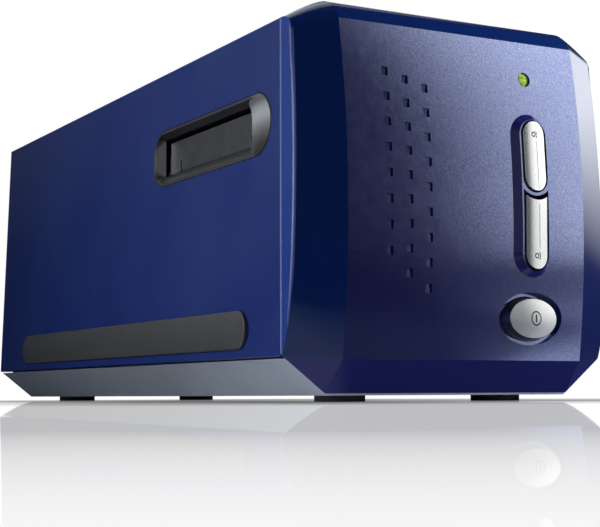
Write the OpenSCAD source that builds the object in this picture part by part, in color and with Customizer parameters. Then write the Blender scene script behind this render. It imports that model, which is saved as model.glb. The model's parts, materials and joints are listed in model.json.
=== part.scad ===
// Desktop scanner for 35 mm film strips and mounted slides.
// Millimetres. X to the right seen from the front, Y to the rear, Z up.
// The origin lies on the table, under the middle of the scanner.

/* [Housing] */
// Length from the crown of the front face to the rear edge
body_l = 272; // [262:0.5:290]
// Height from the table to the top
body_h = 118.5; // [116:0.5:126]
// Width over the sides at the seam
body_w = 116.2; // [114.5:0.1:124]
// How much nearer each side stands at its top edge
side_draft = 2.34; // [1:0.01:4]
// Width of the level part of the top
crown_w = 82; // [70:0.5:88]
// How far the shoulders fall from the top to the side edges
shoulder_drop = 6.03; // [4:0.01:8]
// Wall of the cover, the bezel and the tray
wall = 2.2; // [1.8:0.1:2.6]
// How far the rear end leans forward at the top
rear_lean = 4; // [1:0.1:8]
// Gap between pieces that fit into each other
fit_gap = 0.15; // [0.1:0.01:0.2]

/* [Tray] */
// Height of the bottom above the table
ground_gap = 1.87; // [1.4:0.01:2.4]
// Height of the seam between the tray and the cover
seam_z = 13.23; // [12:0.01:16]
// Open line at the seam
seam_gap = 0.8; // [0.4:0.1:1.2]
// Width of the slope under each side
chamfer_w = 14.63; // [12:0.01:17]
// Diameter of a foot
foot_d = 15.45; // [12:0.05:17]
// Distance of the feet across
foot_pitch_x = 58.4; // [50:0.2:62]
// Front feet, measured back from the front joint
foot_front = 14.8; // [12:0.1:18]
// Rear feet, measured forward from the rear edge
foot_rear = 20.7; // [18:0.1:24]
// Depth of the pocket that holds a foot
foot_pocket = 1; // [0.5:0.1:1.2]

/* [Front bezel] */
// Depth of the bezel, from the middle of the joint to the crown of its face
bezel_d = 14.07; // [13.5:0.01:17]
// How far the joint of the bezel leans back from the bottom to the top
joint_lean = 3.6; // [0:0.1:4]
// Width of the front face
face_w = 86.34; // [80:0.02:90]
// How far the crease at the top of the face lies below the top
face_drop = 7.35; // [6.5:0.05:10]
// Height of the crease at the bottom of the face
face_foot = 12.14; // [10:0.02:14]
// How far the face bulges between its creases
face_bulge = 4.07; // [2:0.01:5]
// How far the narrow sides of the bezel reach forward
cheek_d = 7.25; // [6:0.05:9]
// How far the cheek edge falls back at its top
cheek_rise = 2.58; // [1.5:0.01:3.2]
// How far the cheek edge curls back at its toe
cheek_toe = 3; // [2:0.01:3.2]
// Height under the bottom of the bezel
bezel_foot = 2.53; // [2.5:0.01:3]
// Width of the groove behind the bezel
groove_w = 1.2; // [0.5:0.1:1.5]
// Depth of the groove behind the bezel
groove_deep = 0.6; // [0.3:0.1:1]

/* [Front controls] */
// Middle of the controls, to the right of the centre line
control_x = 22.95; // [20:0.05:25]
// Bottom of the raised island
island_z0 = 37.3; // [36:0.1:39]
// How far the top of the raised island lies below the top
island_drop = 30.7; // [28.5:0.1:31.5]
// Half width of the island at its foot
island_foot = 7.3; // [7.1:0.1:8]
// Half width of the island at its face
island_face = 5.3; // [5.2:0.1:5.6]
// Height of the island
island_h = 2; // [1.5:0.1:2.5]
// Half width of the scan buttons
scan_r = 4.2; // [3.8:0.1:4.3]
// Island left above the upper scan button
scan_rim_top = 2.6; // [2.4:0.1:3.6]
// Island left below the lower scan button
scan_rim_foot = 2.4; // [2.2:0.1:3.6]
// Share of the lower button in the height of both
scan_share = 0.508; // [0.48:0.002:0.52]
// Distance between the scan buttons at their corners
scan_between = 1.6; // [1.4:0.1:2.2]
// Hollow of the top of the lower scan button
scan_lo_dip = 1.2; // [0.8:0.1:1.5]
// How far the scan buttons stand proud of the island
scan_proud = 0.5; // [0.3:0.1:0.8]
// Open line around the scan buttons
scan_gap = 0.55; // [0.4:0.05:0.65]
// Travel of the scan buttons
scan_travel = 0.8; // [0.5:0.1:1]
// Height of the power button's middle
power_z = 24.8; // [24:0.1:26]
// Half width of the power recess
recess_a = 12.05; // [11.6:0.05:12.6]
// Half height of the power recess
recess_b = 8.05; // [7.6:0.05:8.4]
// Depth of the power recess
recess_deep = 2; // [1.5:0.1:2.4]
// Half width of the power button
power_a = 9.5; // [9:0.1:10]
// Half height of the power button
power_b = 6.6; // [6:0.1:6.9]
// How far the power button stands proud of the face
power_proud = 2.4; // [1.2:0.1:2.6]
// Travel of the power button
power_travel = 1.5; // [1:0.1:1.6]
// How far the indicator lamp lies below the top
led_drop = 19.44; // [17.5:0.02:22.5]
// Diameter of the indicator lamp
led_d = 4.2; // [4:0.1:5.6]

/* [Film slots] */
// Front end of the slot's mouth, from the joint of the bezel
slot_front = 6.5; // [5.5:0.1:8]
// Length of the slot's mouth
slot_l = 86.5; // [84:0.5:90]
// Height of the middle of the slot's mouth
slot_z = 82.8; // [81:0.1:85]
// Height of the slot's mouth
slot_h = 19.6; // [19:0.1:22]
// Length of the film channel
channel_l = 64; // [62:0.5:66]
// Rear end of the channel, from the rear end of the mouth
channel_rear = 5.1; // [4.5:0.1:7]
// Bottom of the channel's mouth
channel_z0 = 77.2; // [77:0.05:77.6]
// Top of the channel
channel_z1 = 90.2; // [89:0.1:90.8]
// Depth of the funnel in the mouth
funnel_deep = 2.8; // [2.4:0.1:3.2]
// Flat rim around the funnel
rim = 0.6; // [0.4:0.1:1]

/* [Dust flaps] */
// Depth of a flap behind the side
flap_set = 3.7; // [3.4:0.1:4.2]
// Thickness of a flap
flap_t = 1.2; // [1:0.05:1.3]
// Height of a flap above its hinge
flap_h = 10.4; // [9.8:0.1:10.6]
// Radius of the hinge barrel
barrel_r = 1.2; // [1.15:0.05:1.3]
// Radius of the hinge pin
pin_r = 0.75; // [0.6:0.05:0.8]
// Running clearance of a pin or rod, in radius
run_gap = 0.05; // [0.03:0.01:0.08]
// Open line at the rear end of a flap, where the spring sits
spring_room = 2.3; // [2.2:0.1:3]
// Wire of the flap spring
spring_wire = 0.36; // [0.3:0.02:0.36]

/* [Side strips] */
// Length of a strip
strip_l = 204.9; // [180:0.1:208]
// Height of a strip
strip_h = 11.7; // [9:0.1:12.4]
// Height of a strip's middle
strip_z = 21.5; // [20.5:0.1:26]
// How far a strip stands proud
strip_proud = 1.25; // [0.6:0.05:1.6]
// Depth of the strip's seat
strip_seat = 0.8; // [0.4:0.1:1]

/* [Scan carriage] */
// Scan travel
scan_stroke = 28; // [20:1:30]
// Radius of the guide rods
rod_r = 2.5; // [2:0.1:3]
// Distance of the guide rods
rod_pitch = 64; // [60:0.5:66]
// Height of the guide rods and the lead screw
rod_z = 30; // [29:0.5:32]
// Radius of the lead screw
screw_r = 2; // [1.8:0.1:2.2]
// Place of the lead screw across
screw_x = 14; // [12:0.5:16]
// Height of the optical axis
optic_z = 57; // [55:0.5:60]
// Gear module
gear_m = 0.8; // [0.7:0.05:0.85]
// Teeth of the gear on the lead screw
gear_teeth = 24; // [22:2:26]
// Teeth of the motor pinion
pinion_teeth = 12; // [12:2:14]
// Radius of the stepper motor
motor_r = 10; // [8:0.5:11]
// Length of the stepper motor
motor_l = 16; // [12:0.5:17]
// Room between the stepper motor and the main board
motor_room = 9; // [5:0.5:14]

/* [Hidden] */
$fn = 96;

eps = 0.01;
rear_y = body_l / 2;
joint_y = -body_l / 2 + bezel_d;
face_y = -body_l / 2;
half_w = body_w / 2;
face_top = body_h - face_drop;
led_z = body_h - led_drop;
island_z1 = body_h - island_drop;
scan_lo_z0 = island_z0 + scan_rim_foot;
scan_hi_z1 = island_z1 - scan_rim_top;
scan_split = scan_lo_z0 + scan_share * (scan_hi_z1 - scan_lo_z0);
scan_lo_z1 = scan_split - scan_between / 2;
scan_hi_z0 = scan_split + scan_between / 2;
top_half_w = half_w - side_draft;
side_top = body_h - shoulder_drop;
lean = atan(rear_lean / body_h);
joint_tilt = atan(joint_lean / body_h);
function joint_at(z) = joint_y + joint_lean * (z / body_h - 0.5);
draft = atan(side_draft / (side_top - seam_z));

// Side of the housing at a height, and the shoulder between side and top
function side_x(z) = half_w - side_draft * (z - seam_z) / (side_top - seam_z);
function shoulder(t) = [top_half_w + (crown_w / 2 - top_half_w) * t,
    body_h - shoulder_drop * pow(1 - t, 1.5)];
function right_side(low_x, low_z) = concat([[low_x, low_z], [half_w, seam_z]],
    [for (i = [0:4]) shoulder(i / 4)]);
function mirrored(p) = [for (i = [len(p) - 1:-1:0]) [-p[i].x, p[i].y]];
function outline(low_x, low_z) = concat(right_side(low_x, low_z),
    mirrored(right_side(low_x, low_z)));
body_outline = outline(half_w - chamfer_w, ground_gap);
bezel_outline = outline(half_w - chamfer_w + 0.8, bezel_foot);

// A convex outline moved inwards by d, edge by edge
function inset(p, d) = let (n = len(p)) [for (i = [0:n - 1])
    let (a = p[(i + n - 1) % n], b = p[i], c = p[(i + 1) % n],
        e = (b - a) / norm(b - a), f = (c - b) / norm(c - b),
        m = [e.y, -e.x], k = [f.y, -f.x])
    b - d * (m + k) / (1 + m * k)];
function ellipse(a, b, n = 48) = [for (i = [0:n - 1])
    [a * cos(360 * i / n), b * sin(360 * i / n)]];

// Face of the bezel, an arc seen from the side
face_chord = face_top - face_foot;
face_mid = (face_top + face_foot) / 2;
face_r = (face_chord * face_chord / 4 + face_bulge * face_bulge) / (2 * face_bulge);
function face_at(z, out = 0) = face_y + face_r
    - sqrt(pow(face_r + out, 2) - pow(z - face_mid, 2));
function face_tilt(z) = asin((z - face_mid) / face_r);
// Foremost point of a scan button, whose flat ridge is tilted with the face
function ridge_y(z0, z1) = face_at((z0 + z1) / 2, island_h + scan_proud)
    - tan(abs(face_tilt((z0 + z1) / 2))) * (z1 - z0) / 2;

// The origin is midway between the scan buttons and the rear edge
function rear_at(z) = rear_y - rear_lean * z / body_h;
front_y = min(ridge_y(scan_hi_z0, scan_hi_z1), ridge_y(scan_lo_z0 + scan_lo_dip, scan_lo_z1 - scan_lo_dip));
shift_y = -(front_y + rear_at(ground_gap)) / 2;

// Front edge of the cheeks, its top corner and its toe
cheek_top = side_top - 5.8;
cheek_mid = (cheek_top + seam_z) / 2;
function cheek_y(z) = let (t = (z - cheek_mid) / (cheek_top - cheek_mid))
    joint_y - cheek_d + cheek_rise * t * t + (t < 0 ? cheek_toe * pow(-t, 5) : 0);

// Roll from the face's top crease back to the top of the housing
roll_y = joint_y + 0.5 - (face_y + face_bulge);
roll_z = body_h - face_top;
roll_mid = atan(roll_z / roll_y);
roll_turn = 24;
roll_r = norm([roll_y, roll_z]) / (2 * sin(roll_turn));
function roll(t) = let (a = roll_mid + roll_turn * (1 - 2 * t), s = roll_mid + roll_turn)
    [face_w / 2 + (crown_w / 2 - face_w / 2) * t,
        face_y + face_bulge + roll_r * (sin(s) - sin(a)),
        face_top + roll_r * (cos(a) - cos(s))];

bezel_half = concat(
    [for (p = right_side(half_w - chamfer_w + 0.8, bezel_foot)) [p.x, joint_at(p.y), p.y]],
    [for (i = [0:20]) let (z = face_foot + face_chord * i / 20) [face_w / 2, face_at(z), z]],
    [for (i = [0:12]) let (z = seam_z + (cheek_top - seam_z) * (1 - cos(15 * i)) / 2)
        [side_x(z), cheek_y(z), z]],
    [for (i = [1:8]) roll(i / 8)]);
bezel_points = concat(bezel_half, [for (p = bezel_half) [-p.x, p.y, p.z]]);
bezel_cz = body_h / 2;
function hollowed(p, d) = [for (q = p) [q.x * (1 - d / half_w), q.y + d,
    bezel_cz + (q.z - bezel_cz) * (1 - d / bezel_cz)]];

// Slot places
slot_y0 = joint_y + slot_front;
slot_y1 = slot_y0 + slot_l;
channel_y1 = slot_y1 - channel_rear;
channel_y0 = channel_y1 - channel_l;
channel_y = (channel_y0 + channel_y1) / 2;
slot_side = side_x(slot_z);
hinge_x = slot_side - flap_set - barrel_r;
hinge_z = channel_z0 + barrel_r - 0.1;
flap_lie = hinge_z + barrel_r;
floor_z = flap_lie + 0.2;
bay_z0 = hinge_z - barrel_r - 0.3;
bay_x = hinge_x - flap_h - 0.3;
cheek_t = 2;
guide_x = bay_x - 0.3;
guide_t = 2;
ceiling_z = channel_z1 + 0.3;

// Scan mechanism places
line_y = channel_y - scan_stroke / 2;
chassis_y0 = joint_y + 17.9;
chassis_z = 12;
chassis_t = 2.5;
plate_t = 3;
gear_w = 4;
bracket_t = 2.5;
board_t = 1.6;
board_y = rear_y - 19;
motor_y = board_y - 3 - motor_room - motor_l - bracket_t;
gear_y = motor_y - gear_w - 2;
back_y = gear_y - plate_t - 1.5;
bed_y0 = line_y - 12;
bed_y1 = back_y - scan_stroke - 12;
pressure = 25;
gear_r = gear_m * gear_teeth / 2;
pinion_r = gear_m * pinion_teeth / 2;
gear_centres = gear_r + pinion_r + 0.1;
pinion_x = screw_x - gear_centres;
bearing_r = rod_r + 2.1;
bed_z = rod_z + 3;
bed_t = 3;
column_gap = 3;
column_y = channel_y1 + 4 + column_gap;
bed_rear = bed_y1 - column_y;
column_t = 4;
arm_z = ceiling_z + guide_t + 9;
arm_t = 2.5;
lens_r = 9;
post_x = 40;
post_r = 4;
post_front = joint_y + 10.9;
post_rear = rear_y - 28;
screw_shaft = 1.5;
boss_top = chassis_z + 0.8;

// Rear sockets and boards
board_x1 = half_w - 12.1;
board_z0 = seam_z + 6.77;
board_z1 = body_h - 44.5;
stud_x = board_x1 - 6;
studs_z = [board_z0 + 6, board_z1 - 6];
panel_in = 1;
panel_t = 2.5;
usb_x = -20;
jack_x = 12;
socket_z = 34;
led_y = face_at(led_z);
power_y = face_at(power_z);
power_floor = power_y + recess_deep;
pad_y = face_y + wall + 1.6;
// The switches stand just behind the power button's flange at the end of its travel
switch_h = 4.5;
switch_tip = power_floor + wall + 1.6 + power_travel;
switch_board_y = switch_tip + switch_h + board_t;
switch_studs_z = [power_z + 9.2, led_z - 7.06];

module along_y(y0, y1) {
    translate([0, y1, 0]) rotate([90, 0, 0]) linear_extrude(y1 - y0) children();
}
module rod_y(x, z, y0, y1, r) {
    translate([x, y0, z]) rotate([-90, 0, 0]) cylinder(r = r, h = y1 - y0);
}
module block(x0, x1, y0, y1, z0, z1) {
    translate([x0, y0, z0]) cube([x1 - x0, y1 - y0, z1 - z0]);
}
module both_sides() {
    children();
    mirror([1, 0, 0]) children();
}
// Stadium in the YZ plane, and one in the XZ plane
module slot_x(x0, x1, y0, y1, z, r) {
    for (y = [y0 + r, y1 - r]) translate([x0, y, z]) rotate([0, 90, 0]) cylinder(r = r, h = x1 - x0);
    block(x0, x1, y0 + r, y1 - r, z - r, z + r);
}
module slot_y(x, r, z0, z1, y0, y1) {
    for (z = [z0 + r, z1 - r]) rod_y(x, z, y0, y1, r);
    block(x - r, x + r, y0, y1, z0 + r, z1 - r);
}
module oval_y(x, z, a, b, y0, y1) {
    translate([x, 0, z]) along_y(y0, y1) polygon(ellipse(a, b));
}
// Everything in front of the leaning rear end, less a margin
module before_rear(margin) {
    translate([-100, rear_y - margin, 0]) rotate([lean, 0, 0])
        translate([0, -2 * body_l, -50]) cube([200, 2 * body_l, 2 * body_h]);
}
// Everything behind the leaning joint of the bezel, from a margin on
module behind_joint(margin) {
    translate([-100, joint_y + margin, body_h / 2]) rotate([-joint_tilt, 0, 0])
        translate([0, 0, -2 * body_h]) cube([200, 2 * body_l, 4 * body_h]);
}
module cover_ring(a, b) {
    difference() {
        polygon(a > 0 ? inset(body_outline, a) : body_outline);
        polygon(inset(body_outline, b));
    }
}
module point_hull(p) {
    hull() polyhedron(p, [[for (i = [0:len(p) - 1]) i]]);
}
module strip_blank(extra) {
    translate([half_w, 0, seam_z]) rotate([0, -draft, 0])
        translate([0, 0, (strip_z - seam_z) / cos(draft)])
        slot_x(-strip_seat - extra, strip_proud, -strip_l / 2 - extra, strip_l / 2 + extra,
            0, strip_h / 2 + extra);
}

module top_cover() color([0.12, 0.14, 0.30]) difference() {
    union() {
        intersection() {
            along_y(joint_y - 3, rear_y + 1) cover_ring(0, wall);
            behind_joint(groove_w);
            before_rear(0);
        }
        both_sides() for (y = [post_front, post_rear]) translate([post_x, y, boss_top + fit_gap])
            cylinder(r = post_r, h = body_h - wall - boss_top);
    }
    translate([-half_w, joint_y - 5, 0]) cube([body_w, body_l + 5, seam_z]);
    both_sides() slot_x(slot_side - 6, slot_side + 6, slot_y0, slot_y1, slot_z, slot_h / 2);
    both_sides() strip_blank(0.1);
    both_sides() for (y = [post_front, post_rear]) translate([post_x, y, 0])
        cylinder(r = screw_shaft + run_gap, h = boss_top + 16);
}

module rear_panel() color([0.16, 0.17, 0.19]) difference() {
    union() {
        intersection() {
            along_y(rear_y - 20, rear_y + 1) polygon(inset(body_outline, wall + fit_gap));
            difference() {
                before_rear(panel_in);
                before_rear(panel_in + panel_t);
            }
            block(-half_w, half_w, 0, rear_y, seam_z + 3.4, body_h);
        }
        for (x = [-stud_x, stud_x], z = studs_z) difference() {
            rod_y(x, z, board_y + board_t, rear_at(z) - panel_in - 1, 3);
            rod_y(x, z, board_y, board_y + board_t + 6, 1.1);
        }
    }
    block(usb_x - 6.3, usb_x + 6.3, board_y + 8, rear_y, socket_z - 5.8, socket_z + 5.8);
    rod_y(jack_x, socket_z, board_y + 8, rear_y, 5.2);
}

module base_tray() color([0.33, 0.35, 0.38]) difference() {
    union() {
        intersection() {
            along_y(joint_y - 3, rear_y + 1) polygon(body_outline);
            behind_joint(0.2);
            before_rear(0);
            block(-half_w, half_w, -body_l, body_l, 0, seam_z - seam_gap);
        }
        intersection() {
            along_y(joint_y + 6, rear_y) polygon(inset(body_outline, wall + fit_gap));
            before_rear(panel_in + panel_t + 0.3);
            block(-half_w, half_w, -body_l, body_l, seam_z - seam_gap - 1, seam_z + 3);
        }
    }
    intersection() {
        difference() {
            along_y(joint_at(seam_z) + wall + 0.2, rear_y) polygon(inset(body_outline, 2 * wall));
            both_sides() for (y = [post_front, post_rear]) translate([post_x, y, 0])
                cylinder(r = post_r + 1, h = boss_top);
            both_sides() for (y = [chassis_y0 + 12, back_y - 12]) translate([30, y, 0])
                cylinder(r = 4, h = chassis_z);
        }
        before_rear(panel_in + panel_t + 2.4);
        block(-half_w, half_w, -body_l, body_l, ground_gap + wall, body_h);
    }
    both_sides() for (y = [post_front, post_rear]) translate([post_x, y, 0]) {
        cylinder(r = 3.1, h = chassis_z - 6);
        cylinder(r = screw_shaft + 0.2, h = boss_top + 1);
    }
    both_sides() for (y = [chassis_y0 + 12, back_y - 12]) translate([30, y, chassis_z - 7])
        cylinder(r = 1.25 + run_gap, h = 9);
    feet(foot_d / 2 + 0.1, ground_gap + foot_pocket + 0.05);
}

module feet(r, h) {
    both_sides() for (y = [joint_y + foot_front, rear_y - foot_rear])
        translate([foot_pitch_x / 2, y, 0]) cylinder(r = r, h = h);
}
module rubber_feet() color([0.1, 0.1, 0.11]) difference() {
    feet(foot_d / 2, ground_gap + foot_pocket);
    both_sides() for (y = [joint_y + foot_front, rear_y - foot_rear])
        translate([foot_pitch_x / 2, y, -eps]) cylinder(r = foot_d / 5, h = 0.5);
}

module base_screws() color([0.55, 0.56, 0.58]) both_sides()
    for (y = [post_front, post_rear]) translate([post_x, y, chassis_z - 6]) {
        difference() {
            translate([0, 0, -2.1]) cylinder(r = 2.75, h = 2.1);
            for (a = [0, 90]) rotate(a) translate([-1.6, -0.35, -2.2]) cube([3.2, 0.7, 1.2]);
        }
        cylinder(r = screw_shaft, h = boss_top + 6);
    }

// Bezel: one convex shell, a raised island, a neck in the groove and a tongue in the cover
module bezel_skin() {
    difference() {
        point_hull(bezel_points);
        point_hull(hollowed(bezel_points, wall));
    }
}
function island_ring(half, z0, z1, out) = concat([for (i = [0:35])
    let (a = 10 * i + 5, zc = sin(a) > 0 ? z1 - half : z0 + half, z = zc + half * sin(a))
    [control_x + half * cos(a), face_at(z, out), z]],
    [for (i = [0:9], side = [-1, 1]) let (z = z0 + half + (z1 - z0 - 2 * half) * i / 9)
        [control_x + side * half, face_at(z, out), z]]);
module island() {
    grow = island_foot - island_face;
    point_hull(concat(island_ring(island_foot, island_z0, island_z1, -wall),
        island_ring(island_foot, island_z0, island_z1, 0),
        island_ring(island_face, island_z0 + grow, island_z1 - grow, island_h)));
}
module lower_button_shape(extra, y0, y1) {
    dip_r = scan_r * scan_r / (2 * scan_lo_dip) + scan_lo_dip / 2;
    difference() {
        union() {
            rod_y(control_x, scan_lo_z0 + scan_r, y0, y1, scan_r + extra);
            block(control_x - scan_r - extra, control_x + scan_r + extra, y0, y1,
                scan_lo_z0 + scan_r, scan_lo_z1 + extra * 2);
        }
        rod_y(control_x, scan_lo_z1 - scan_lo_dip + dip_r, y0 - 1, y1 + 1, dip_r - extra);
    }
}
module upper_button_shape(extra, y0, y1) {
    slot_y(control_x, scan_r + extra, scan_hi_z0 - extra, scan_hi_z1 + extra, y0, y1);
}
module front_bezel() color([0.20, 0.22, 0.42]) difference() {
    union() {
        bezel_skin();
        island();
        block(control_x - 8, control_x + 8, face_y + 1.5, pad_y, island_z0 + 1, island_z1 - 1);
        oval_y(control_x, power_z, recess_a + 2, recess_b + 2, power_y + 1.6, power_floor + wall);
        rod_y(control_x, led_z, led_y + 1, led_y + 6, led_d / 2 + 1.6);
        for (x = [control_x - 12.5, control_x + 12.5], z = switch_studs_z)
            rod_y(x, z, face_at(z) + 1, switch_board_y - board_t, 2.4);
        intersection() {
            union() {
                difference() {
                    along_y(joint_at(0) - 0.5, joint_y + 5) cover_ring(groove_deep, wall + 0.6);
                    behind_joint(groove_w);
                }
                along_y(joint_y - 1, joint_y + slot_front - 2.1) cover_ring(wall + fit_gap, 2 * wall);
            }
            block(-half_w, half_w, joint_y - 3, joint_y + 8, seam_z + 3.5, body_h);
        }
    }
    upper_button_shape(scan_gap, face_y - 5, pad_y + 1);
    lower_button_shape(scan_gap, face_y - 5, pad_y + 1);
    oval_y(control_x, power_z, recess_a, recess_b, face_y - 3, power_floor);
    oval_y(control_x, power_z, power_a + 0.3, power_b + 0.3, face_y - 3, power_floor + wall + 1);
    rod_y(control_x, led_z, face_y - 3, led_y + 8, led_d / 2 + 0.2);
    for (x = [control_x - 12.5, control_x + 12.5], z = switch_studs_z)
        rod_y(x, z, switch_board_y - board_t - 5, joint_y, 0.9);
    dimples();
}
// Three columns of shallow pockets left of the controls
module dimples() {
    dimple_column(-28.9, face_top - 14.8, 7.58, 8);
    dimple_column(-22.0, face_top - 16.7, 7.17, 9);
    dimple_column(-15.1, face_top - 18.79, 7.43, 9);
}
module dimple_column(x, top, pitch, n) {
    for (i = [0:n - 1]) translate([x - 1.1, face_at(top - pitch * i) - 1, top - pitch * i - 1.3])
        cube([2.2, 1.6, 2.6]);
}

// Shallow roof with its ridge upright, tilted with the face
module roof(z, half, out, back) {
    y = face_at(z, island_h + out);
    translate([control_x, y, z]) rotate([face_tilt(z), 0, 0]) translate([0, 0, -30])
        linear_extrude(60) polygon([[0, 0], [half, 0.55], [half, back], [-half, back], [-half, 0.55]]);
}
module scan_flange(z0, z1) {
    block(control_x - scan_r - 1.6, control_x + scan_r + 1.6, pad_y + 0.3, pad_y + 1.5, z0, z1);
}
module scan_button_upper() color([0.78, 0.79, 0.80]) union() {
    intersection() {
        upper_button_shape(0, face_y - 5, pad_y + 0.4);
        roof((scan_hi_z0 + scan_hi_z1) / 2, scan_r + 1, scan_proud, 12);
    }
    scan_flange(scan_hi_z0 + 0.4, scan_hi_z1 + 1.2);
    rod_y(control_x, scan_hi_z0 + 10.8, pad_y + 1, switch_tip - scan_travel - 0.3, 1.6);
}
module scan_button_lower() color([0.78, 0.79, 0.80]) union() {
    intersection() {
        lower_button_shape(0, face_y - 5, pad_y + 0.4);
        roof((scan_lo_z0 + scan_lo_z1) / 2, scan_r + 1, scan_proud, 12);
    }
    scan_flange(scan_lo_z0 - 1.2, scan_lo_z1 - 0.4);
    rod_y(control_x, scan_lo_z0 + 10.8, pad_y + 1, switch_tip - scan_travel - 0.3, 1.6);
}
module power_button() color([0.78, 0.79, 0.80]) union() {
    intersection() {
        oval_y(control_x, power_z, power_a, power_b, power_y - power_proud - 1, power_floor + wall + 0.8);
        translate([control_x, power_y - power_proud + 4.5 * power_a, power_z])
            sphere(r = 4.5 * power_a);
    }
    oval_y(control_x, power_z, power_a + 1.2, power_b + 1.2,
        power_floor + wall + 0.3, power_floor + wall + 1.3);
}
module led_lens() color([0.70, 0.85, 0.30]) union() {
    intersection() {
        rod_y(control_x, led_z, led_y - 1, led_y + 5, led_d / 2);
        translate([control_x, led_y + led_d + 0.2, led_z]) sphere(r = led_d);
    }
    rod_y(control_x, led_z, led_y + 3, switch_board_y - board_t - 0.1, led_d / 2 - 0.6);
}

// Inlet frame: flush mouth, funnel, bay for the flap and cheeks for its pin
module inlet_frame() color([0.20, 0.20, 0.21]) difference() {
    union() {
        intersection() {
            slot_x(slot_side - 4, slot_side + 3, slot_y0 + fit_gap, slot_y1 - fit_gap,
                slot_z, slot_h / 2 - fit_gap);
            along_y(slot_y0 - 5, slot_y1 + 5) polygon(body_outline);
        }
        intersection() {
            slot_x(slot_side - 4, slot_side, slot_y0 - 1.6, slot_y1 + 1.6, slot_z, slot_h / 2 + 1.6);
            along_y(slot_y0 - 5, slot_y1 + 5) polygon(inset(body_outline, wall + 0.1));
        }
        block(bay_x, slot_side - 3, channel_y0 - cheek_t, channel_y1 + cheek_t,
            bay_z0 - 1.5, channel_z1 + 1.5);
    }
    hull() {
        slot_x(slot_side + 1.5, slot_side + 1.6, slot_y0 + rim - 0.8, slot_y1 - rim + 0.4,
            slot_z, slot_h / 2 - rim + 0.4, $fn = 32);
        block(slot_side - funnel_deep - eps, slot_side - funnel_deep, channel_y0, channel_y1,
            channel_z0, channel_z1);
    }
    block(bay_x - 1, slot_side - funnel_deep, channel_y0, channel_y1, channel_z0, channel_z1);
    block(bay_x - 1, slot_side - funnel_deep - 0.6, channel_y0, channel_y1, bay_z0, channel_z1);
    rod_y(hinge_x, hinge_z, channel_y0 - cheek_t - 1, channel_y1 + cheek_t + 1, pin_r + 0.02);
}
flap_y0 = channel_y0 + 0.3;
flap_y1 = channel_y1 - spring_room;
module flap() color([0.16, 0.16, 0.17]) difference() {
    union() {
        rod_y(hinge_x, hinge_z, flap_y0, flap_y1, barrel_r);
        block(hinge_x + barrel_r - flap_t, hinge_x + barrel_r, flap_y0, flap_y1,
            hinge_z, hinge_z + flap_h);
        for (y = [flap_y0 + 4.5, flap_y1 - 5.5])
            block(hinge_x + barrel_r - flap_t - 0.8, hinge_x + barrel_r - 0.2, y, y + 1,
                hinge_z + 1, hinge_z + flap_h * 0.55);
    }
    rod_y(hinge_x, hinge_z, flap_y0 - 1, flap_y1 + 1, pin_r + run_gap);
    for (y = [flap_y0 + 1.6, flap_y1 - 8.4])
        block(hinge_x - 3, hinge_x + 3, y, y + 0.7, hinge_z - 2, hinge_z + 3.4);
}
module flap_pin() color([0.70, 0.71, 0.73])
    rod_y(hinge_x, hinge_z, channel_y0 - cheek_t, channel_y1 + cheek_t, pin_r);

// Torsion spring round the pin, its wire swept along a coil
spring_r = pin_r + 0.12 + spring_wire / 2;
spring_turns = 3;
spring_pitch = (spring_room - 0.6 - spring_wire) / spring_turns;
function coil_ring(i, n) = let (a = 360 * i / 14)
    [for (k = [0:n - 1]) let (b = 360 * k / n, r = spring_r + spring_wire / 2 * cos(b))
        [r * cos(a), spring_pitch * i / 14 + spring_wire / 2 * sin(b), r * sin(a)]];
module coil(n = 6) {
    rings = 14 * spring_turns;
    points = [for (i = [0:rings]) each coil_ring(i, n)];
    polyhedron(points, concat(
        [[for (k = [0:n - 1]) k]],
        [for (i = [0:rings - 1], k = [0:n - 1])
            [i * n + k, (i + 1) * n + k, (i + 1) * n + (k + 1) % n, i * n + (k + 1) % n]],
        [[for (k = [n - 1:-1:0]) rings * n + k]]));
}
module flap_spring() color([0.62, 0.63, 0.65]) union() {
    translate([hinge_x, flap_y1 + 0.3 + spring_wire / 2, hinge_z]) coil();
    translate([hinge_x + spring_r, flap_y1 + 0.3 + spring_wire / 2, hinge_z])
        cylinder(r = spring_wire / 2, h = 6, $fn = 16);
    translate([hinge_x + spring_r, channel_y1 - 0.3 - spring_wire / 2, bay_z0 + 0.05])
        cylinder(r = spring_wire / 2, h = hinge_z - bay_z0, $fn = 16);
}

module side_strip() color([0.22, 0.22, 0.23]) intersection() {
    strip_blank(0);
    translate([half_w, 0, seam_z]) rotate([0, -draft, 0])
        translate([strip_proud - 3 * strip_h, 0, (strip_z - seam_z) / cos(draft)])
        rod_y(0, 0, -strip_l, strip_l, 3 * strip_h);
}

// Lower guide with rails along the channel and a window under the scan line
win_x = 19;
win_y0 = line_y - 3;
win_y1 = line_y + scan_stroke + 3;
module film_guide_lower() color([0.13, 0.13, 0.14]) difference() {
    union() {
        block(-guide_x, guide_x, channel_y0 - 4, channel_y1 + 4, floor_z - guide_t, floor_z);
        block(-guide_x, guide_x, channel_y0 - 1, channel_y0, floor_z - 0.5, floor_z + 4);
        block(-guide_x, guide_x, channel_y1, channel_y1 + 1, floor_z - 0.5, floor_z + 4);
    }
    block(-win_x, win_x, win_y0, win_y1, floor_z - 5, floor_z + 2);
}
module film_guide_upper() color([0.13, 0.13, 0.14]) difference() {
    union() {
        block(-guide_x, guide_x, channel_y0 - 4, channel_y1 + 4, ceiling_z, ceiling_z + guide_t);
        both_sides() for (y = [channel_y0 - 4, channel_y1 + 1.3])
            block(guide_x - 10, guide_x, y, y + 2.7, floor_z, ceiling_z + 1);
    }
    block(-win_x, win_x, win_y0, win_y1, ceiling_z - 1, ceiling_z + guide_t + 1);
}

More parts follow.
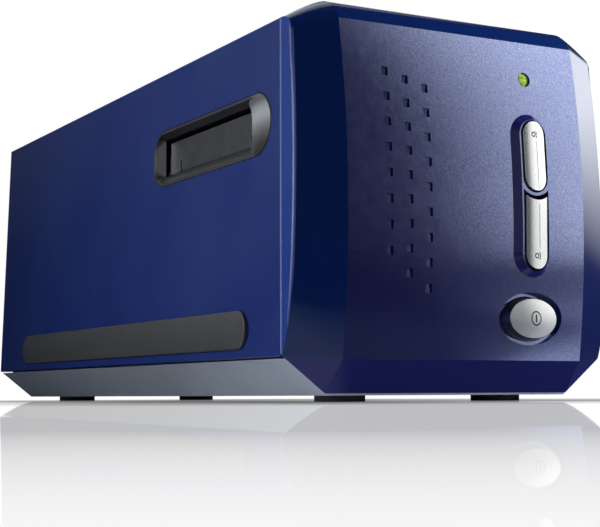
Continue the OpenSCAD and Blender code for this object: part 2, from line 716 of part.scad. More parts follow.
module chassis() color([0.60, 0.61, 0.63]) difference() {
    union() {
        block(-guide_x, guide_x, chassis_y0, motor_y + bracket_t, chassis_z, chassis_z + chassis_t);
        block(-guide_x, guide_x, chassis_y0, chassis_y0 + plate_t, chassis_z, rod_z + 9);
        block(-guide_x, guide_x, back_y, back_y + plate_t, chassis_z, rod_z + 9);
        block(pinion_x - motor_r - 3, pinion_x + motor_r + 3, motor_y, motor_y + bracket_t,
            chassis_z, rod_z + motor_r);
        both_sides() block(guide_x - 1.6, guide_x, channel_y0 - 4, channel_y1 + 4,
            chassis_z, floor_z - guide_t);
    }
    both_sides() rod_y(rod_pitch / 2, rod_z, chassis_y0 - 1, back_y + plate_t + 1, rod_r + 0.02);
    rod_y(screw_x, rod_z, chassis_y0 - 1, back_y + plate_t + 1, screw_r + run_gap);
    rod_y(pinion_x, rod_z, motor_y - 1, motor_y + bracket_t + 1, 4);
    both_sides() for (y = [chassis_y0 + 12, back_y - 12]) translate([30, y, 0])
        cylinder(r = 1.5, h = chassis_z + chassis_t + 1);
    window_pitch = (back_y - chassis_y0 - 30) / 3;
    for (i = [0:2]) block(-20, 20, chassis_y0 + 24 + window_pitch * i,
        chassis_y0 + 8 + window_pitch * (i + 1), chassis_z - 1, chassis_z + chassis_t + 1);
    both_sides() block(guide_x - 3, guide_x + 1, channel_y0 + 8, channel_y1 - 8,
        rod_z + 14, floor_z - guide_t - 12);
}
module chassis_screws() color([0.55, 0.56, 0.58]) both_sides()
    for (y = [chassis_y0 + 12, back_y - 12]) translate([30, y, chassis_z + chassis_t]) {
        cylinder(r1 = 2.4, r2 = 1.8, h = 1.6);
        translate([0, 0, -chassis_t - 5]) cylinder(r = 1.25, h = chassis_t + 5);
    }
module guide_rods() color([0.80, 0.81, 0.83])
    both_sides() rod_y(rod_pitch / 2, rod_z, chassis_y0, back_y + plate_t, rod_r);

// Carriage: bed on four bearings, column behind the channel, arm over it
mirror_l = 40;
mirror_w = 20;
mirror_t = 2;
module carriage() color([0.20, 0.21, 0.23]) difference() {
    union() {
        block(-rod_pitch / 2 - 1, rod_pitch / 2 + 1, bed_y0, bed_y1, bed_z, bed_z + bed_t);
        both_sides() for (y = [bed_y0 + 2, bed_y1 - 16])
            rod_y(rod_pitch / 2, rod_z, y, y + 12, bearing_r);
        block(-26, 26, column_y, column_y + column_t, bed_z, arm_z + arm_t);
        both_sides() block(23, 26, column_y, column_y + 14, bed_z, arm_z + arm_t);
        block(-26, 26, line_y - 8, column_y + column_t, arm_z, arm_z + arm_t);
        block(-26, 26, bed_y1 - 6, bed_y1 - 3, bed_z, optic_z + 16);
        both_sides() mirror_rest();
        block(screw_x - 7, screw_x + 7, column_y + 20, column_y + 24, rod_z - 5, bed_z + 1);
    }
    both_sides() rod_y(rod_pitch / 2, rod_z, bed_y0 - 1, bed_y1 + 1, rod_r + run_gap);
    rod_y(screw_x, rod_z, column_y + 19, column_y + 25, screw_r + 1.55);
    rod_y(0, optic_z, column_y - 1, column_y + column_t + 1, lens_r + 0.05);
    block(screw_x - 6.5, screw_x + 6.5, column_y + 24, column_y + 31, bed_z - 1, bed_z + bed_t + 1);
    block(-14, 14, bed_y1 - 8, bed_y1, optic_z - 7, optic_z + 7);
    block(-16, 16, bed_y0 + 30, column_y - 6, bed_z - 1, bed_z + bed_t + 1);
    block(-16, 16, column_y + 0.48 * bed_rear, column_y + 0.68 * bed_rear, bed_z - 1, bed_z + bed_t + 1);
}
module mirror_rest() {
    h = mirror_w / 2 * sin(45);
    foot = bed_z + 1 - optic_z;
    translate([mirror_l / 2 - 3, line_y, optic_z - 0.03]) rotate([90, 0, 90]) linear_extrude(3)
        polygon([[-h, h], [-h - 3, h], [-h - 3, foot], [h, foot], [h, -h]]);
}
module mirror_plate() color([0.80, 0.84, 0.88])
    translate([0, line_y, optic_z]) rotate([-45, 0, 0])
        translate([-mirror_l / 2, -mirror_w / 2, 0]) cube([mirror_l, mirror_w, mirror_t]);
module lamp_housing() color([0.85, 0.85, 0.84]) difference() {
    block(-24, 24, line_y - 7, line_y + 7, ceiling_z + guide_t + 1.5, arm_z);
    block(-22, 22, line_y - 5, line_y + 5, ceiling_z + guide_t, arm_z - 1.5);
}
module lamp_diffuser() color([0.95, 0.95, 0.93])
    block(-21.9, 21.9, line_y - 4.9, line_y + 4.9, ceiling_z + guide_t + 0.6, ceiling_z + guide_t + 2.2);
module lens_barrel() color([0.08, 0.08, 0.09]) difference() {
    union() {
        rod_y(0, optic_z, column_y - 9, column_y + column_t + 12, lens_r);
        rod_y(0, optic_z, column_y - 9, column_y - 1, lens_r + 1.5);
    }
    rod_y(0, optic_z, column_y - 10, column_y - 4, lens_r - 2);
    rod_y(0, optic_z, column_y + column_t + 8, column_y + column_t + 13, lens_r - 3);
}
module sensor_board() color([0.10, 0.35, 0.20]) union() {
    block(-25, 25, bed_y1 - 3, bed_y1 - 3 + board_t, optic_z - 14, optic_z + 15);
    block(-13.5, 13.5, bed_y1 - 5.5, bed_y1 - 2.9, optic_z - 4, optic_z + 4);
}
module lead_screw() color([0.74, 0.75, 0.77]) union() {
    rod_y(screw_x, rod_z, chassis_y0 - 1.5, gear_y + gear_w + 1, screw_r);
    rod_y(screw_x, rod_z, chassis_y0 + plate_t + 0.3, chassis_y0 + plate_t + 1.3, screw_r + 1.2);
    rod_y(screw_x, rod_z, back_y - 1.3, back_y - 0.3, screw_r + 1.2);
}
module screw_nut() color([0.78, 0.62, 0.30]) difference() {
    union() {
        rod_y(screw_x, rod_z, column_y + 20, column_y + 28, screw_r + 1.5);
        rod_y(screw_x, rod_z, column_y + 24, column_y + 26, screw_r + 4);
    }
    rod_y(screw_x, rod_z, column_y + 19, column_y + 29, screw_r + run_gap);
}

// Involute gear outline; half_tooth is half a tooth's angle at radius q
function inv_deg(a) = tan(a) * 180 / PI - a;
function half_tooth(z, q) = let (r = gear_m * z / 2, rb = r * cos(pressure))
    90 / z - 0.06 / r * 180 / PI + inv_deg(pressure) - inv_deg(acos(min(1, rb / q)));
function gear_outline(z) = let (r = gear_m * z / 2, lo = r - 1.1 * gear_m, hi = r + 0.8 * gear_m,
        mid = max(lo + 0.02, r * cos(pressure)),
        q = concat([lo], [for (i = [0:5]) mid + (hi - mid) * i / 5]))
    [for (k = [0:z - 1]) each concat(
        [for (i = [0:6]) let (a = 360 * k / z - half_tooth(z, q[i])) q[i] * [cos(a), sin(a)]],
        [for (i = [6:-1:0]) let (a = 360 * k / z + half_tooth(z, q[i])) q[i] * [cos(a), sin(a)]])];
module drive_gear() color([0.90, 0.90, 0.86]) difference() {
    union() {
        translate([screw_x, 0, rod_z]) along_y(gear_y, gear_y + gear_w)
            rotate(180 / gear_teeth) polygon(gear_outline(gear_teeth));
        rod_y(screw_x, rod_z, gear_y - 1, gear_y + 1, screw_r + 2);
    }
    rod_y(screw_x, rod_z, gear_y - 2, gear_y + gear_w + 1, screw_r + 0.01);
}
module motor_pinion() color([0.78, 0.62, 0.30]) union() {
    translate([pinion_x, 0, rod_z]) along_y(gear_y - 0.4, gear_y + gear_w + 0.4)
        polygon(gear_outline(pinion_teeth));
    rod_y(pinion_x, rod_z, gear_y - 1, motor_y + bracket_t + 6, 1);
}
module stepper_motor() color([0.62, 0.63, 0.65]) difference() {
    union() {
        rod_y(pinion_x, rod_z, motor_y + bracket_t, motor_y + bracket_t + motor_l, motor_r);
        rod_y(pinion_x, rod_z, motor_y, motor_y + bracket_t + 1, 3.9);
    }
    rod_y(pinion_x, rod_z, motor_y - 1, motor_y + bracket_t + 7, 1 + run_gap);
}

module main_board() color([0.10, 0.35, 0.20]) difference() {
    union() {
        block(-board_x1, board_x1, board_y, board_y + board_t, board_z0, board_z1);
        block(-30, -16, board_y - 1.8, board_y + 0.1, board_z1 - 22, board_z1 - 8);
        block(4, 22, board_y - 1.5, board_y + 0.1, board_z1 - 20, board_z1 - 10);
        block(-8, 0, board_y - 3, board_y + 0.1, board_z1 - 18, board_z1 - 12);
    }
    for (x = [-stud_x, stud_x], z = studs_z) rod_y(x, z, board_y - 4, board_y + 3, 1.3);
}
module usb_socket() color([0.80, 0.81, 0.82]) difference() {
    block(usb_x - 6, usb_x + 6, board_y + board_t, rear_at(socket_z) - 0.6,
        socket_z - 5.5, socket_z + 5.5);
    difference() {
        block(usb_x - 4.3, usb_x + 4.3, rear_at(socket_z) - 10, rear_y,
            socket_z - 4, socket_z + 4);
        block(usb_x - 2.8, usb_x + 2.8, rear_at(socket_z) - 11, rear_at(socket_z) - 1.6,
            socket_z - 1.6, socket_z + 1.6);
    }
}
module power_jack() color([0.09, 0.09, 0.10]) union() {
    difference() {
        union() {
            block(jack_x - 5.5, jack_x + 5.5, board_y + board_t, board_y + 9,
                socket_z - 5.5, socket_z + 5.5);
            rod_y(jack_x, socket_z, board_y + 8, rear_at(socket_z) - 0.6, 5);
        }
        rod_y(jack_x, socket_z, board_y + 6, rear_y, 3.2);
    }
    rod_y(jack_x, socket_z, board_y + 5, rear_at(socket_z) - 2.5, 1);
}
module button_board() color([0.10, 0.35, 0.20]) difference() {
    block(control_x - 16, control_x + 16, switch_board_y - board_t, switch_board_y,
        power_z - 5.8, led_z + 6.94);
    for (x = [control_x - 12.5, control_x + 12.5], z = switch_studs_z)
        rod_y(x, z, switch_board_y - 3, switch_board_y + 1, 1);
}
module tact_switches() color([0.15, 0.15, 0.16])
    for (z = [power_z, scan_lo_z0 + 10.8, scan_hi_z0 + 10.8]) union() {
        block(control_x - 3, control_x + 3, switch_tip + 1, switch_board_y - board_t,
            z - 3, z + 3);
        rod_y(control_x, z, switch_tip, switch_tip + 1.5, 1.7);
    }

module placed() {
    translate([0, shift_y, 0]) children();
}
module on_left() {
    mirror([1, 0, 0]) children();
}
placed() top_cover();
placed() rear_panel();
placed() base_tray();
placed() front_bezel();
placed() scan_button_upper();
placed() scan_button_lower();
placed() power_button();
placed() led_lens();
placed() on_left() inlet_frame();  // left_inlet_frame
placed() inlet_frame();  // right_inlet_frame
placed() on_left() flap();  // left_flap
placed() flap();  // right_flap
placed() on_left() flap_pin();  // left_flap_pin
placed() flap_pin();  // right_flap_pin
placed() on_left() flap_spring();  // left_flap_spring
placed() flap_spring();  // right_flap_spring
placed() on_left() side_strip();  // left_side_strip
placed() side_strip();  // right_side_strip
placed() rubber_feet();
placed() base_screws();
placed() film_guide_lower();
placed() film_guide_upper();
placed() chassis();
placed() chassis_screws();
placed() guide_rods();
placed() carriage();
placed() lamp_housing();
placed() lamp_diffuser();
placed() mirror_plate();  // mirror
placed() lens_barrel();
placed() sensor_board();
placed() lead_screw();
placed() drive_gear();
placed() screw_nut();
placed() stepper_motor();
placed() motor_pinion();
placed() main_board();
placed() usb_socket();
placed() power_jack();
placed() button_board();
placed() tact_switches();
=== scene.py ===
import json
import math
import bpy
import bmesh
from mathutils import Matrix, Vector


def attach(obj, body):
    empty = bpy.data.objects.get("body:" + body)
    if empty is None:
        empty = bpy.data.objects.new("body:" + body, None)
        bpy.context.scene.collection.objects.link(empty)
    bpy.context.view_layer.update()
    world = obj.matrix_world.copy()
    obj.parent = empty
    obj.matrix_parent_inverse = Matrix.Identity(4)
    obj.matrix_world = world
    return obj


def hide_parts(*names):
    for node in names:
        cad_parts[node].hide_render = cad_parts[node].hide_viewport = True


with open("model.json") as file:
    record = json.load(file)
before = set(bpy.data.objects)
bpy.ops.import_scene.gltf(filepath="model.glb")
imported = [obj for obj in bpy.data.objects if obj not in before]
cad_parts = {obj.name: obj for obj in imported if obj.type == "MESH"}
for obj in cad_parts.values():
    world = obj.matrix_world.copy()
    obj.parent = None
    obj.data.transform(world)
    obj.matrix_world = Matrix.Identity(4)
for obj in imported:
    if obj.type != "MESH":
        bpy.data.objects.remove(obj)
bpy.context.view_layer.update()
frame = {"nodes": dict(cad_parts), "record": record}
NODES = frame["nodes"]

# ---------------------------------------------------------------- sizes, in millimetres
MM = 0.001
SHIFT = 1.3759                      # the housing's middle lies this far behind the frame's origin
L, H, HW = 272.0, 118.5, 58.1       # length, height, and half the width at the seam
DRAFT, LEAN = 2.34, 4.0             # how far each side draws in, and the rear end leans forward
CROWN, DROP = 86.6, 6.03            # width of the flat top, and height of the shoulders beside it
SEAM, CHAMFER, GROUND = 13.23, 14.63, 1.87      # top, width and foot of the tray's sloped underside
SIDE_TOP = H - DROP
WALL = 2.2
JOINT = -L / 2 + 14.07              # depth at which bezel and cover meet
JOINT_LEAN, GROOVE = 3.6, 1.2       # lean of the joint over the height, and width of its groove
FACE = -L / 2                       # foremost line of the curved front face
FACE_HW, FACE_TOP, FACE_FOOT, BULGE = 43.17, 111.15, 12.14, 4.07
CTRL_X = 22.95                      # the buttons and the green lens stand above each other
POWER_Z, LOWER_Z, UPPER_Z, LED_Z = 24.8, 50.9, 74.4, 99.06
CAP_HALF_L, CAP_R, CAP_GAP = 10.8, 4.2, 0.55    # scan buttons, and the gap around them
LOWER_FOOT, LOWER_TOP, LOWER_DIP = 39.7, 62, 1.2
RIDGE_X = 0.8                       # ridge of the scan buttons, right of their middle
SLOT_Y0, SLOT_Y1, SLOT_Z, SLOT_R = JOINT + 6.5, JOINT + 93, 82.8, 9.8
STRIP_Z, STRIP_L, STRIP_H, STRIP_GAP = 21.5, 204.9, 11.7, 0.12
OUTSIDE = 70                        # half width of cutters that reach past both sides


def joint_at(z):
    return JOINT + JOINT_LEAN * (z / H - 0.5)


def side_x(z):
    return HW - DRAFT * (z - SEAM) / (SIDE_TOP - SEAM)


def shoulder(t):
    """Point (x, z) of the right shoulder, from the side (t = 0) to the flat top (t = 1)."""
    top = HW - DRAFT
    return top + (CROWN / 2 - top) * t, H - DROP * (1 - t) ** 1.25


CHORD, FACE_MID = FACE_TOP - FACE_FOOT, (FACE_TOP + FACE_FOOT) / 2
FACE_R = (CHORD ** 2 / 4 + BULGE ** 2) / (2 * BULGE)


def face_at(z, out=0.0):
    """Depth of the curved face at a height, or of the same curve further out."""
    return FACE + FACE_R - math.sqrt((FACE_R + out) ** 2 - (z - FACE_MID) ** 2)


CHEEK_TOP = SIDE_TOP - 5.8
CHEEK_MID = (CHEEK_TOP + SEAM) / 2


def cheek_y(z):
    """Depth at which the side meets the chamfer beside the face."""
    t = (z - CHEEK_MID) / (CHEEK_TOP - CHEEK_MID)
    return JOINT - 7.25 + 2.58 * t * t + (3.0 * (-t) ** 5 if t < 0 else 0)


def roll(t):
    """Arc from the top of the chamfer (t = 0) or of the face (t = 1) over to the crown."""
    n = 16
    cheek_top = Vector((side_x(CHEEK_TOP), cheek_y(CHEEK_TOP), CHEEK_TOP))
    e = cheek_top.lerp(Vector((FACE_HW, FACE + BULGE, FACE_TOP)), t)
    sx, sz = shoulder(t)
    top = Vector((sx, joint_at(sz) - 0.7, sz))
    rise = Vector((0, 0.469 * t, 1 - 0.117 * t)).normalized() * (3.2 + 1.4 * t)
    p1, p2 = e + rise, top - Vector((0, 3.4 + 2.1 * t, 0.15))
    pts = []
    for i in range(n + 1):
        u = i / n
        pts.append(e * (1 - u) ** 3 + p1 * 3 * u * (1 - u) ** 2 + p2 * 3 * u * u * (1 - u) + top * u ** 3)
    return pts


def rear_at(z):
    return L / 2 - LEAN * z / H


def outline(n):
    """Closed section (x, z) of the housing, with n steps in each shoulder."""
    right = [(HW - CHAMFER, GROUND), (HW, SEAM)] + [shoulder(i / n) for i in range(n + 1)]
    return right + [(-x, z) for x, z in reversed(right)]


def inset(p, d):
    """The closed section p, drawn in by d."""
    out = []
    for i in range(len(p)):
        a, b, c = Vector(p[i - 1]), Vector(p[i]), Vector(p[(i + 1) % len(p)])
        e, f = (b - a).normalized(), (c - b).normalized()
        m, k = Vector((e.y, -e.x)), Vector((f.y, -f.x))
        q = b - d * (m + k) / (1 + m.dot(k))
        out.append((q.x, q.y))
    return out


# ---------------------------------------------------------------- mesh helpers
def obj_from(bm, name):
    mesh = bpy.data.meshes.new(name)
    bmesh.ops.recalc_face_normals(bm, faces=bm.faces)
    bm.to_mesh(mesh)
    bm.free()
    obj = bpy.data.objects.new(name, mesh)
    bpy.context.scene.collection.objects.link(obj)
    return obj


def to_m(p):
    """A point in metres in the shared frame."""
    return Vector((p[0], p[1] + SHIFT, p[2])) * MM


def hull_obj(points, name):
    bm = bmesh.new()
    for p in points:
        bm.verts.new(to_m(p))
    bmesh.ops.convex_hull(bm, input=bm.verts)
    bmesh.ops.delete(bm, geom=[v for v in bm.verts if not v.link_faces], context="VERTS")
    bmesh.ops.dissolve_limit(bm, angle_limit=math.radians(0.05), verts=bm.verts, edges=bm.edges)
    return obj_from(bm, name)


def bridge(bm, a, b):
    """Faces between two closed rings of vertices."""
    for i in range(len(a)):
        j = (i + 1) % len(a)
        bm.faces.new((a[i], b[i], b[j], a[j]))


def prism(front, back, name):
    """A closed solid between two rings of points."""
    bm = bmesh.new()
    a, b = [[bm.verts.new(to_m(p)) for p in ring_pts] for ring_pts in (front, back)]
    bm.faces.new(a)
    bm.faces.new(b[::-1])
    bridge(bm, a, b)
    return obj_from(bm, name)


def at_depth(pts, y):
    """Points (x, z) at the depth y, a number or a function of the height."""
    return [(x, y(z) if callable(y) else y, z) for x, z in pts]


def prism_y(pts, y0, y1, name):
    return prism(at_depth(pts, y0), at_depth(pts, y1), name)


def prism_x(pts, x0, x1, name):
    return prism([(x0, y, z) for y, z in pts], [(x1, y, z) for y, z in pts], name)


def tube_y(outer, inner, y0, y1, name):
    """A closed tube between the depths y0 and y1."""
    bm = bmesh.new()
    rings = [[bm.verts.new(to_m(p)) for p in at_depth(pts, y)]
             for pts, y in ((outer, y0), (outer, y1), (inner, y1), (inner, y0))]
    for k in range(4):
        bridge(bm, rings[k], rings[(k + 1) % 4])
    return obj_from(bm, name)


def rect(x0, z0, x1, z1):
    return [(x0, z0), (x1, z0), (x1, z1), (x0, z1)]


def stadium(half_l, r, n):
    """A slot's outline with round ends, about its middle."""
    pts = [(half_l - r + r * math.cos(t), r * math.sin(t))
           for t in [math.pi * (i / n - 0.5) for i in range(n + 1)]]
    return pts + [(-x, -y) for x, y in pts]


def apply_mods(obj):
    dg = bpy.context.evaluated_depsgraph_get()
    mesh = bpy.data.meshes.new_from_object(obj.evaluated_get(dg))
    obj.modifiers.clear()
    old = obj.data
    obj.data = mesh
    bpy.data.meshes.remove(old)


def bevel(obj, width, segs, angle):
    m = obj.modifiers.new("bevel", "BEVEL")
    m.width, m.segments = width * MM, segs
    m.limit_method, m.angle_limit = "ANGLE", math.radians(angle)
    m.miter_outer = "MITER_ARC"
    m.use_clamp_overlap = True
    apply_mods(obj)


def boolean(obj, tool, op="DIFFERENCE"):
    m = obj.modifiers.new("bool", "BOOLEAN")
    m.object, m.operation, m.solver = tool, op, "EXACT"
    apply_mods(obj)
    bpy.data.objects.remove(tool)


def joined(objs, name):
    bm = bmesh.new()
    for o in objs:
        bm.from_mesh(o.data)
        bpy.data.objects.remove(o)
    mesh = bpy.data.meshes.new(name)
    bm.to_mesh(mesh)
    bm.free()
    obj = bpy.data.objects.new(name, mesh)
    bpy.context.scene.collection.objects.link(obj)
    return obj


def smooth(obj, angle=28):
    """Smooth shading, except across edges sharper than the angle."""
    mesh = obj.data
    bm = bmesh.new()
    bm.from_mesh(mesh)
    bmesh.ops.remove_doubles(bm, verts=bm.verts, dist=1e-6)
    for f in bm.faces:
        f.smooth = True
    lim = math.radians(angle)
    for e in bm.edges:
        e.smooth = len(e.link_faces) == 2 and e.calc_face_angle(0) < lim
    bm.to_mesh(mesh)
    bm.free()


BIG = 2.0 * MM * MM                 # faces over 2 mm2 set the normals of the small ones beside them
SAME, NEAR = math.cos(math.radians(7.0)), math.cos(math.radians(40.0))


def harden(obj, known=None):
    """Flat faces stay flat, curved ones stay even, and the small roundings blend between them.

    known(face) is None, or a function that gives the normal at a place on that face.
    """
    mesh = obj.data
    polys = mesh.polygons
    fixed = [known(p) if known else None for p in polys]
    large = [p.area > BIG or fixed[i] is not None for i, p in enumerate(polys)]
    at = [[] for _ in mesh.vertices]
    for p in polys:
        for v in p.vertices:
            at[v].append(p.index)
    normals = [None] * len(mesh.loops)
    flat = {}

    def big_normal(i, v):
        key = (i, v)
        if key not in flat:
            if fixed[i] is not None:
                n = fixed[i](mesh.vertices[v].co)
            else:
                own, n = polys[i].normal, Vector()
                for k in at[v]:
                    if large[k] and fixed[k] is None and polys[k].normal.dot(own) > SAME:
                        n += polys[k].normal * polys[k].area
            flat[key] = n.normalized()
        return flat[key]

    for p in polys:
        for li in p.loop_indices:
            v = mesh.loops[li].vertex_index
            if large[p.index]:
                normals[li] = big_normal(p.index, v)
                continue
            best, n = NEAR, None
            for k in at[v]:
                if large[k]:
                    q = big_normal(k, v)
                    if q.dot(p.normal) > best:
                        best, n = q.dot(p.normal), q
            if n is None:
                n = Vector()
                for k in at[v]:
                    if not large[k] and polys[k].normal.dot(p.normal) > NEAR:
                        n += polys[k].normal * polys[k].area
                n = n.normalized() if n.length else p.normal.copy()
            normals[li] = n
    for p in polys:
        p.use_smooth = True
    mesh.normals_split_custom_set(normals)


def copy_node(name, width, segs, angle, sharp=30):
    """A finer copy of a CAD node, with its edges rounded."""
    bm = bmesh.new()
    bm.from_mesh(NODES[name].data)
    bmesh.ops.remove_doubles(bm, verts=bm.verts, dist=2e-6)
    bmesh.ops.dissolve_limit(bm, angle_limit=math.radians(0.3), verts=bm.verts, edges=bm.edges)
    obj = obj_from(bm, name + "_fine")
    bevel(obj, width, segs, angle)
    smooth(obj, sharp)
    harden(obj)
    return obj


def finish_piece(obj, mat, body, slot, *replaced):
    """Gives a piece its material, or its list of them by face, and its body, and hides the nodes it replaces;
    slot is not used.
    """
    many = isinstance(mat, list)
    index = [p.material_index for p in obj.data.polygons]
    obj.data.materials.clear()
    for m in mat if many else [mat]:
        obj.data.materials.append(m)
    if many:
        obj.data.polygons.foreach_set("material_index", index)
    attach(obj, body)
    if replaced:
        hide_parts(*replaced)
    return obj


# ---------------------------------------------------------------- materials
WHITE = (1, 1, 1, 1)
DEGREES = 57.29578                  # in one radian


def lin(hex_color):
    """A written colour in the linear values that shaders use."""
    c = [int(hex_color[i:i + 2], 16) / 255 for i in (1, 3, 5)]
    return tuple(v / 12.92 if v <= 0.04045 else ((v + 0.055) / 1.055) ** 2.4 for v in c) + (1.0,)


class Tree:
    """Short ways to add shader nodes to a tree."""

    def __init__(self, tree):
        self.t = tree

    def put(self, value, socket):
        """Links an output to the socket, or sets a plain value on it."""
        if hasattr(value, "is_output"):
            self.t.links.new(value, socket)
        else:
            socket.default_value = value

    def fill(self, node, inputs):
        for k, v in inputs.items():
            self.put(v, node.inputs[k.replace("_", " ")])
        return node

    def new(self, kind, **inputs):
        return self.fill(self.t.nodes.new("ShaderNode" + kind), inputs)

    def shader(self, kind, *parts):
        """A shader with the parts on its first inputs."""
        n = self.new(kind)
        for v, socket in zip(parts, n.inputs):
            self.put(v, socket)
        return n.outputs[0]

    def math(self, op, a, b=0.0, clamp=False):
        n = self.new("Math")
        n.operation, n.use_clamp = op, clamp
        self.put(a, n.inputs[0])
        self.put(b, n.inputs[1])
        return n.outputs[0]

    def times(self, *parts):
        out = parts[0]
        for part in parts[1:]:
            out = self.math("MULTIPLY", out, part)
        return out

    def ramp(self, v, a, b):
        """0 where v is a, 1 where it is b, straight between and level outside."""
        return self.math("DIVIDE", self.math("SUBTRACT", v, a), b - a, True)


class Nodes(Tree):
    """The tree of a new material."""

    def __init__(self, name):
        self.mat = bpy.data.materials.new(name)
        self.mat.use_nodes = True
        super().__init__(self.mat.node_tree)
        self.b = self.t.nodes["Principled BSDF"]
        self.place = self.new("TexCoord").outputs["Object"]

    def surface(self, **inputs):
        self.fill(self.b, inputs)

    def noise(self, scale, detail=3.0, rough=0.5):
        n = self.new("TexNoise", Vector=self.place, Scale=scale, Detail=detail, Roughness=rough)
        return n.outputs["Fac"]

    def spread(self, fac, a, b, lo=0.3, hi=0.7):
        """Maps lo to hi onto a to b."""
        n = self.new("MapRange", Value=fac, From_Min=lo, From_Max=hi, To_Min=a, To_Max=b)
        return n.outputs["Result"]

    def mix(self, fac, a, b, mode="MIX"):
        n = self.new("Mix")
        n.data_type, n.blend_type = "RGBA", mode
        for value, k in ((fac, 0), (a, 6), (b, 7)):     # the colour mix's own sockets
            self.put(value, n.inputs[k])
        return n.outputs[2]

    def bump(self, height, strength, dist):
        n = self.new("Bump", Strength=strength, Distance=dist, Height=height)
        self.surface(Normal=n.outputs["Normal"])


def plain(name, color, rough, metal=0.0, var=0.12, scale=120.0, bump=0.05, grain=900.0, spec=0.5):
    """Plastic or metal: slight colour drift, worn gloss and a fine grain."""
    n = Nodes(name)
    c = lin(color)[:3]
    dark = tuple(v * (1 - var) for v in c) + (1,)
    light = tuple(min(1, v * (1 + var)) for v in c) + (1,)
    n.surface(Base_Color=n.mix(n.spread(n.noise(scale), 0, 1), dark, light),
              Roughness=n.spread(n.noise(scale * 2.3), rough * 0.88, min(1, rough * 1.12)),
              Metallic=metal, Specular_IOR_Level=spec)
    if bump:
        n.bump(n.noise(grain, 2.0), bump, 0.0001)
    return n.mat


PAINT = {"var": 0.02, "scale": 12, "bump": 0.0}
CAP = {"scale": 2300, "bump": 0.06, "grain": 2600}
METAL = {"metal": 1.0}
LOOKS = {   # colour, roughness, and what differs from plain()'s own values
    "cover_blue": ("#152e74", 0.34, dict(PAINT, spec=0.4)),
    # copies of the bezel's smooth plastic, each coloured as painted light and shade for its region: the sides
    # and their rounded edges lighter, the chamfers, crown and bevels darker
    "bezel_edge_painted_highlight": ("#27408a", 0.42, dict(PAINT, spec=0.4)),
    "bezel_right_painted_shade": ("#1e2758", 0.12, PAINT),
    "bezel_smooth_painted_shade": ("#0e2c6c", 0.12, PAINT),
    "bezel_low_painted_shade": ("#262a70", 0.16, PAINT),
    "bezel_side_painted_light": ("#1d4090", 0.30, PAINT),
    # light lavender for the neck in the joint: a painted highlight
    "groove_painted_highlight": ("#6f7cb2", 0.35, {"var": 0.03, "bump": 0.0}),
    "tray_grey": ("#b8c0c9", 0.42, {"metal": 0.3, "var": 0.03, "scale": 60, "bump": 0.0}),
    "rear_plastic": ("#26282c", 0.55, {"bump": 0.15, "grain": 1800}),
    "button_silver": ("#dddad3", 0.32, dict(CAP, metal=0.58, var=0.06)),
    "button_satin": ("#e4e2dd", 0.24, dict(CAP, metal=0.92, var=0.07)),
    # darker copy of the silver for the power button's wall: painted shade
    "button_wall_painted_shade": ("#a5a8ac", 0.2, {"metal": 0.9}),
    "inlet_black": ("#363637", 0.34, {"var": 0.04, "bump": 0.06, "grain": 2400, "spec": 0.6}),
    "flap_black": ("#414142", 0.34, {"var": 0.05, "grain": 2400}),
    "strip_grey": ("#474747", 0.38, {"var": 0.04, "grain": 2400}),
    "foot_rubber": ("#6a6a6c", 0.7, {"bump": 0.2, "grain": 1200}),
    "steel": ("#b4b7bb", 0.3, METAL),
    "screw_steel": ("#8f9296", 0.35, METAL),
    "motor_steel": ("#9ea1a5", 0.35, METAL),
    "socket_metal": ("#cfd2d6", 0.22, METAL),
    "nut_brass": ("#c29b4a", 0.3, METAL),
    "mirror_glass": ("#e4e8ec", 0.04, dict(METAL, var=0.01, bump=0.0)),
    "chassis_metal": ("#999ca0", 0.42, {"metal": 0.9, "scale": 45}),
    "guide_black": ("#202124", 0.6, {}),
    "carriage_plastic": ("#33353a", 0.55, {}),
    "lamp_white": ("#d9d9d6", 0.5, {}),
    "diffuser_white": ("#f2f2ee", 0.35, {}),
    "lens_black": ("#141416", 0.4, {"metal": 0.4}),
    "board_green": ("#1f5a33", 0.45, {"var": 0.2, "scale": 400}),
    "gear_white": ("#e6e6dc", 0.45, {}),
    "jack_black": ("#161718", 0.5, {}),
    "ridge_grey": ("#77787a", 0.5, {"spec": 0.2}),
    "icon_dark": ("#26272b", 0.6, {"spec": 0.15}),
}
M = {name: plain(name, color, rough, **other) for name, (color, rough, other) in LOOKS.items()}


def face_material():
    """Fine leather-like moulded texture of the front face."""
    n = Nodes("bezel_textured")
    base = n.mix(n.spread(n.noise(26.0, 2.0), 0, 1), lin("#1b1d5c"), lin("#1e2062"))
    grain = n.noise(1900.0, 2.0, 0.6)
    spot = n.spread(grain, 0.0, 1.0, 0.35, 0.65)
    n.surface(Base_Color=n.mix(spot, n.mix(1.0, base, (0.70, 0.70, 0.76, 1), "MULTIPLY"), base),
              Roughness=n.spread(n.noise(420.0), 0.11, 0.14),
              IOR=3.0, Specular_IOR_Level=1.0,
              Specular_Tint=n.mix(spot, (0.46, 0.51, 0.88, 1), (0.70, 0.76, 1.0, 1)))
    n.bump(grain, 0.25, 0.00003)
    return n.mat


def led_material():
    """Green lens with a weak glow of its own."""
    n = Nodes("led_green")
    drift = n.spread(n.noise(700.0, 1.0), 0, 1, 0.4, 0.6)
    n.surface(Base_Color=n.mix(drift, lin("#5c7310"), lin("#dcea74")), Roughness=0.12,
              Transmission_Weight=0.15, Emission_Color=lin("#a9d83a"), Emission_Strength=0.16)
    return n.mat


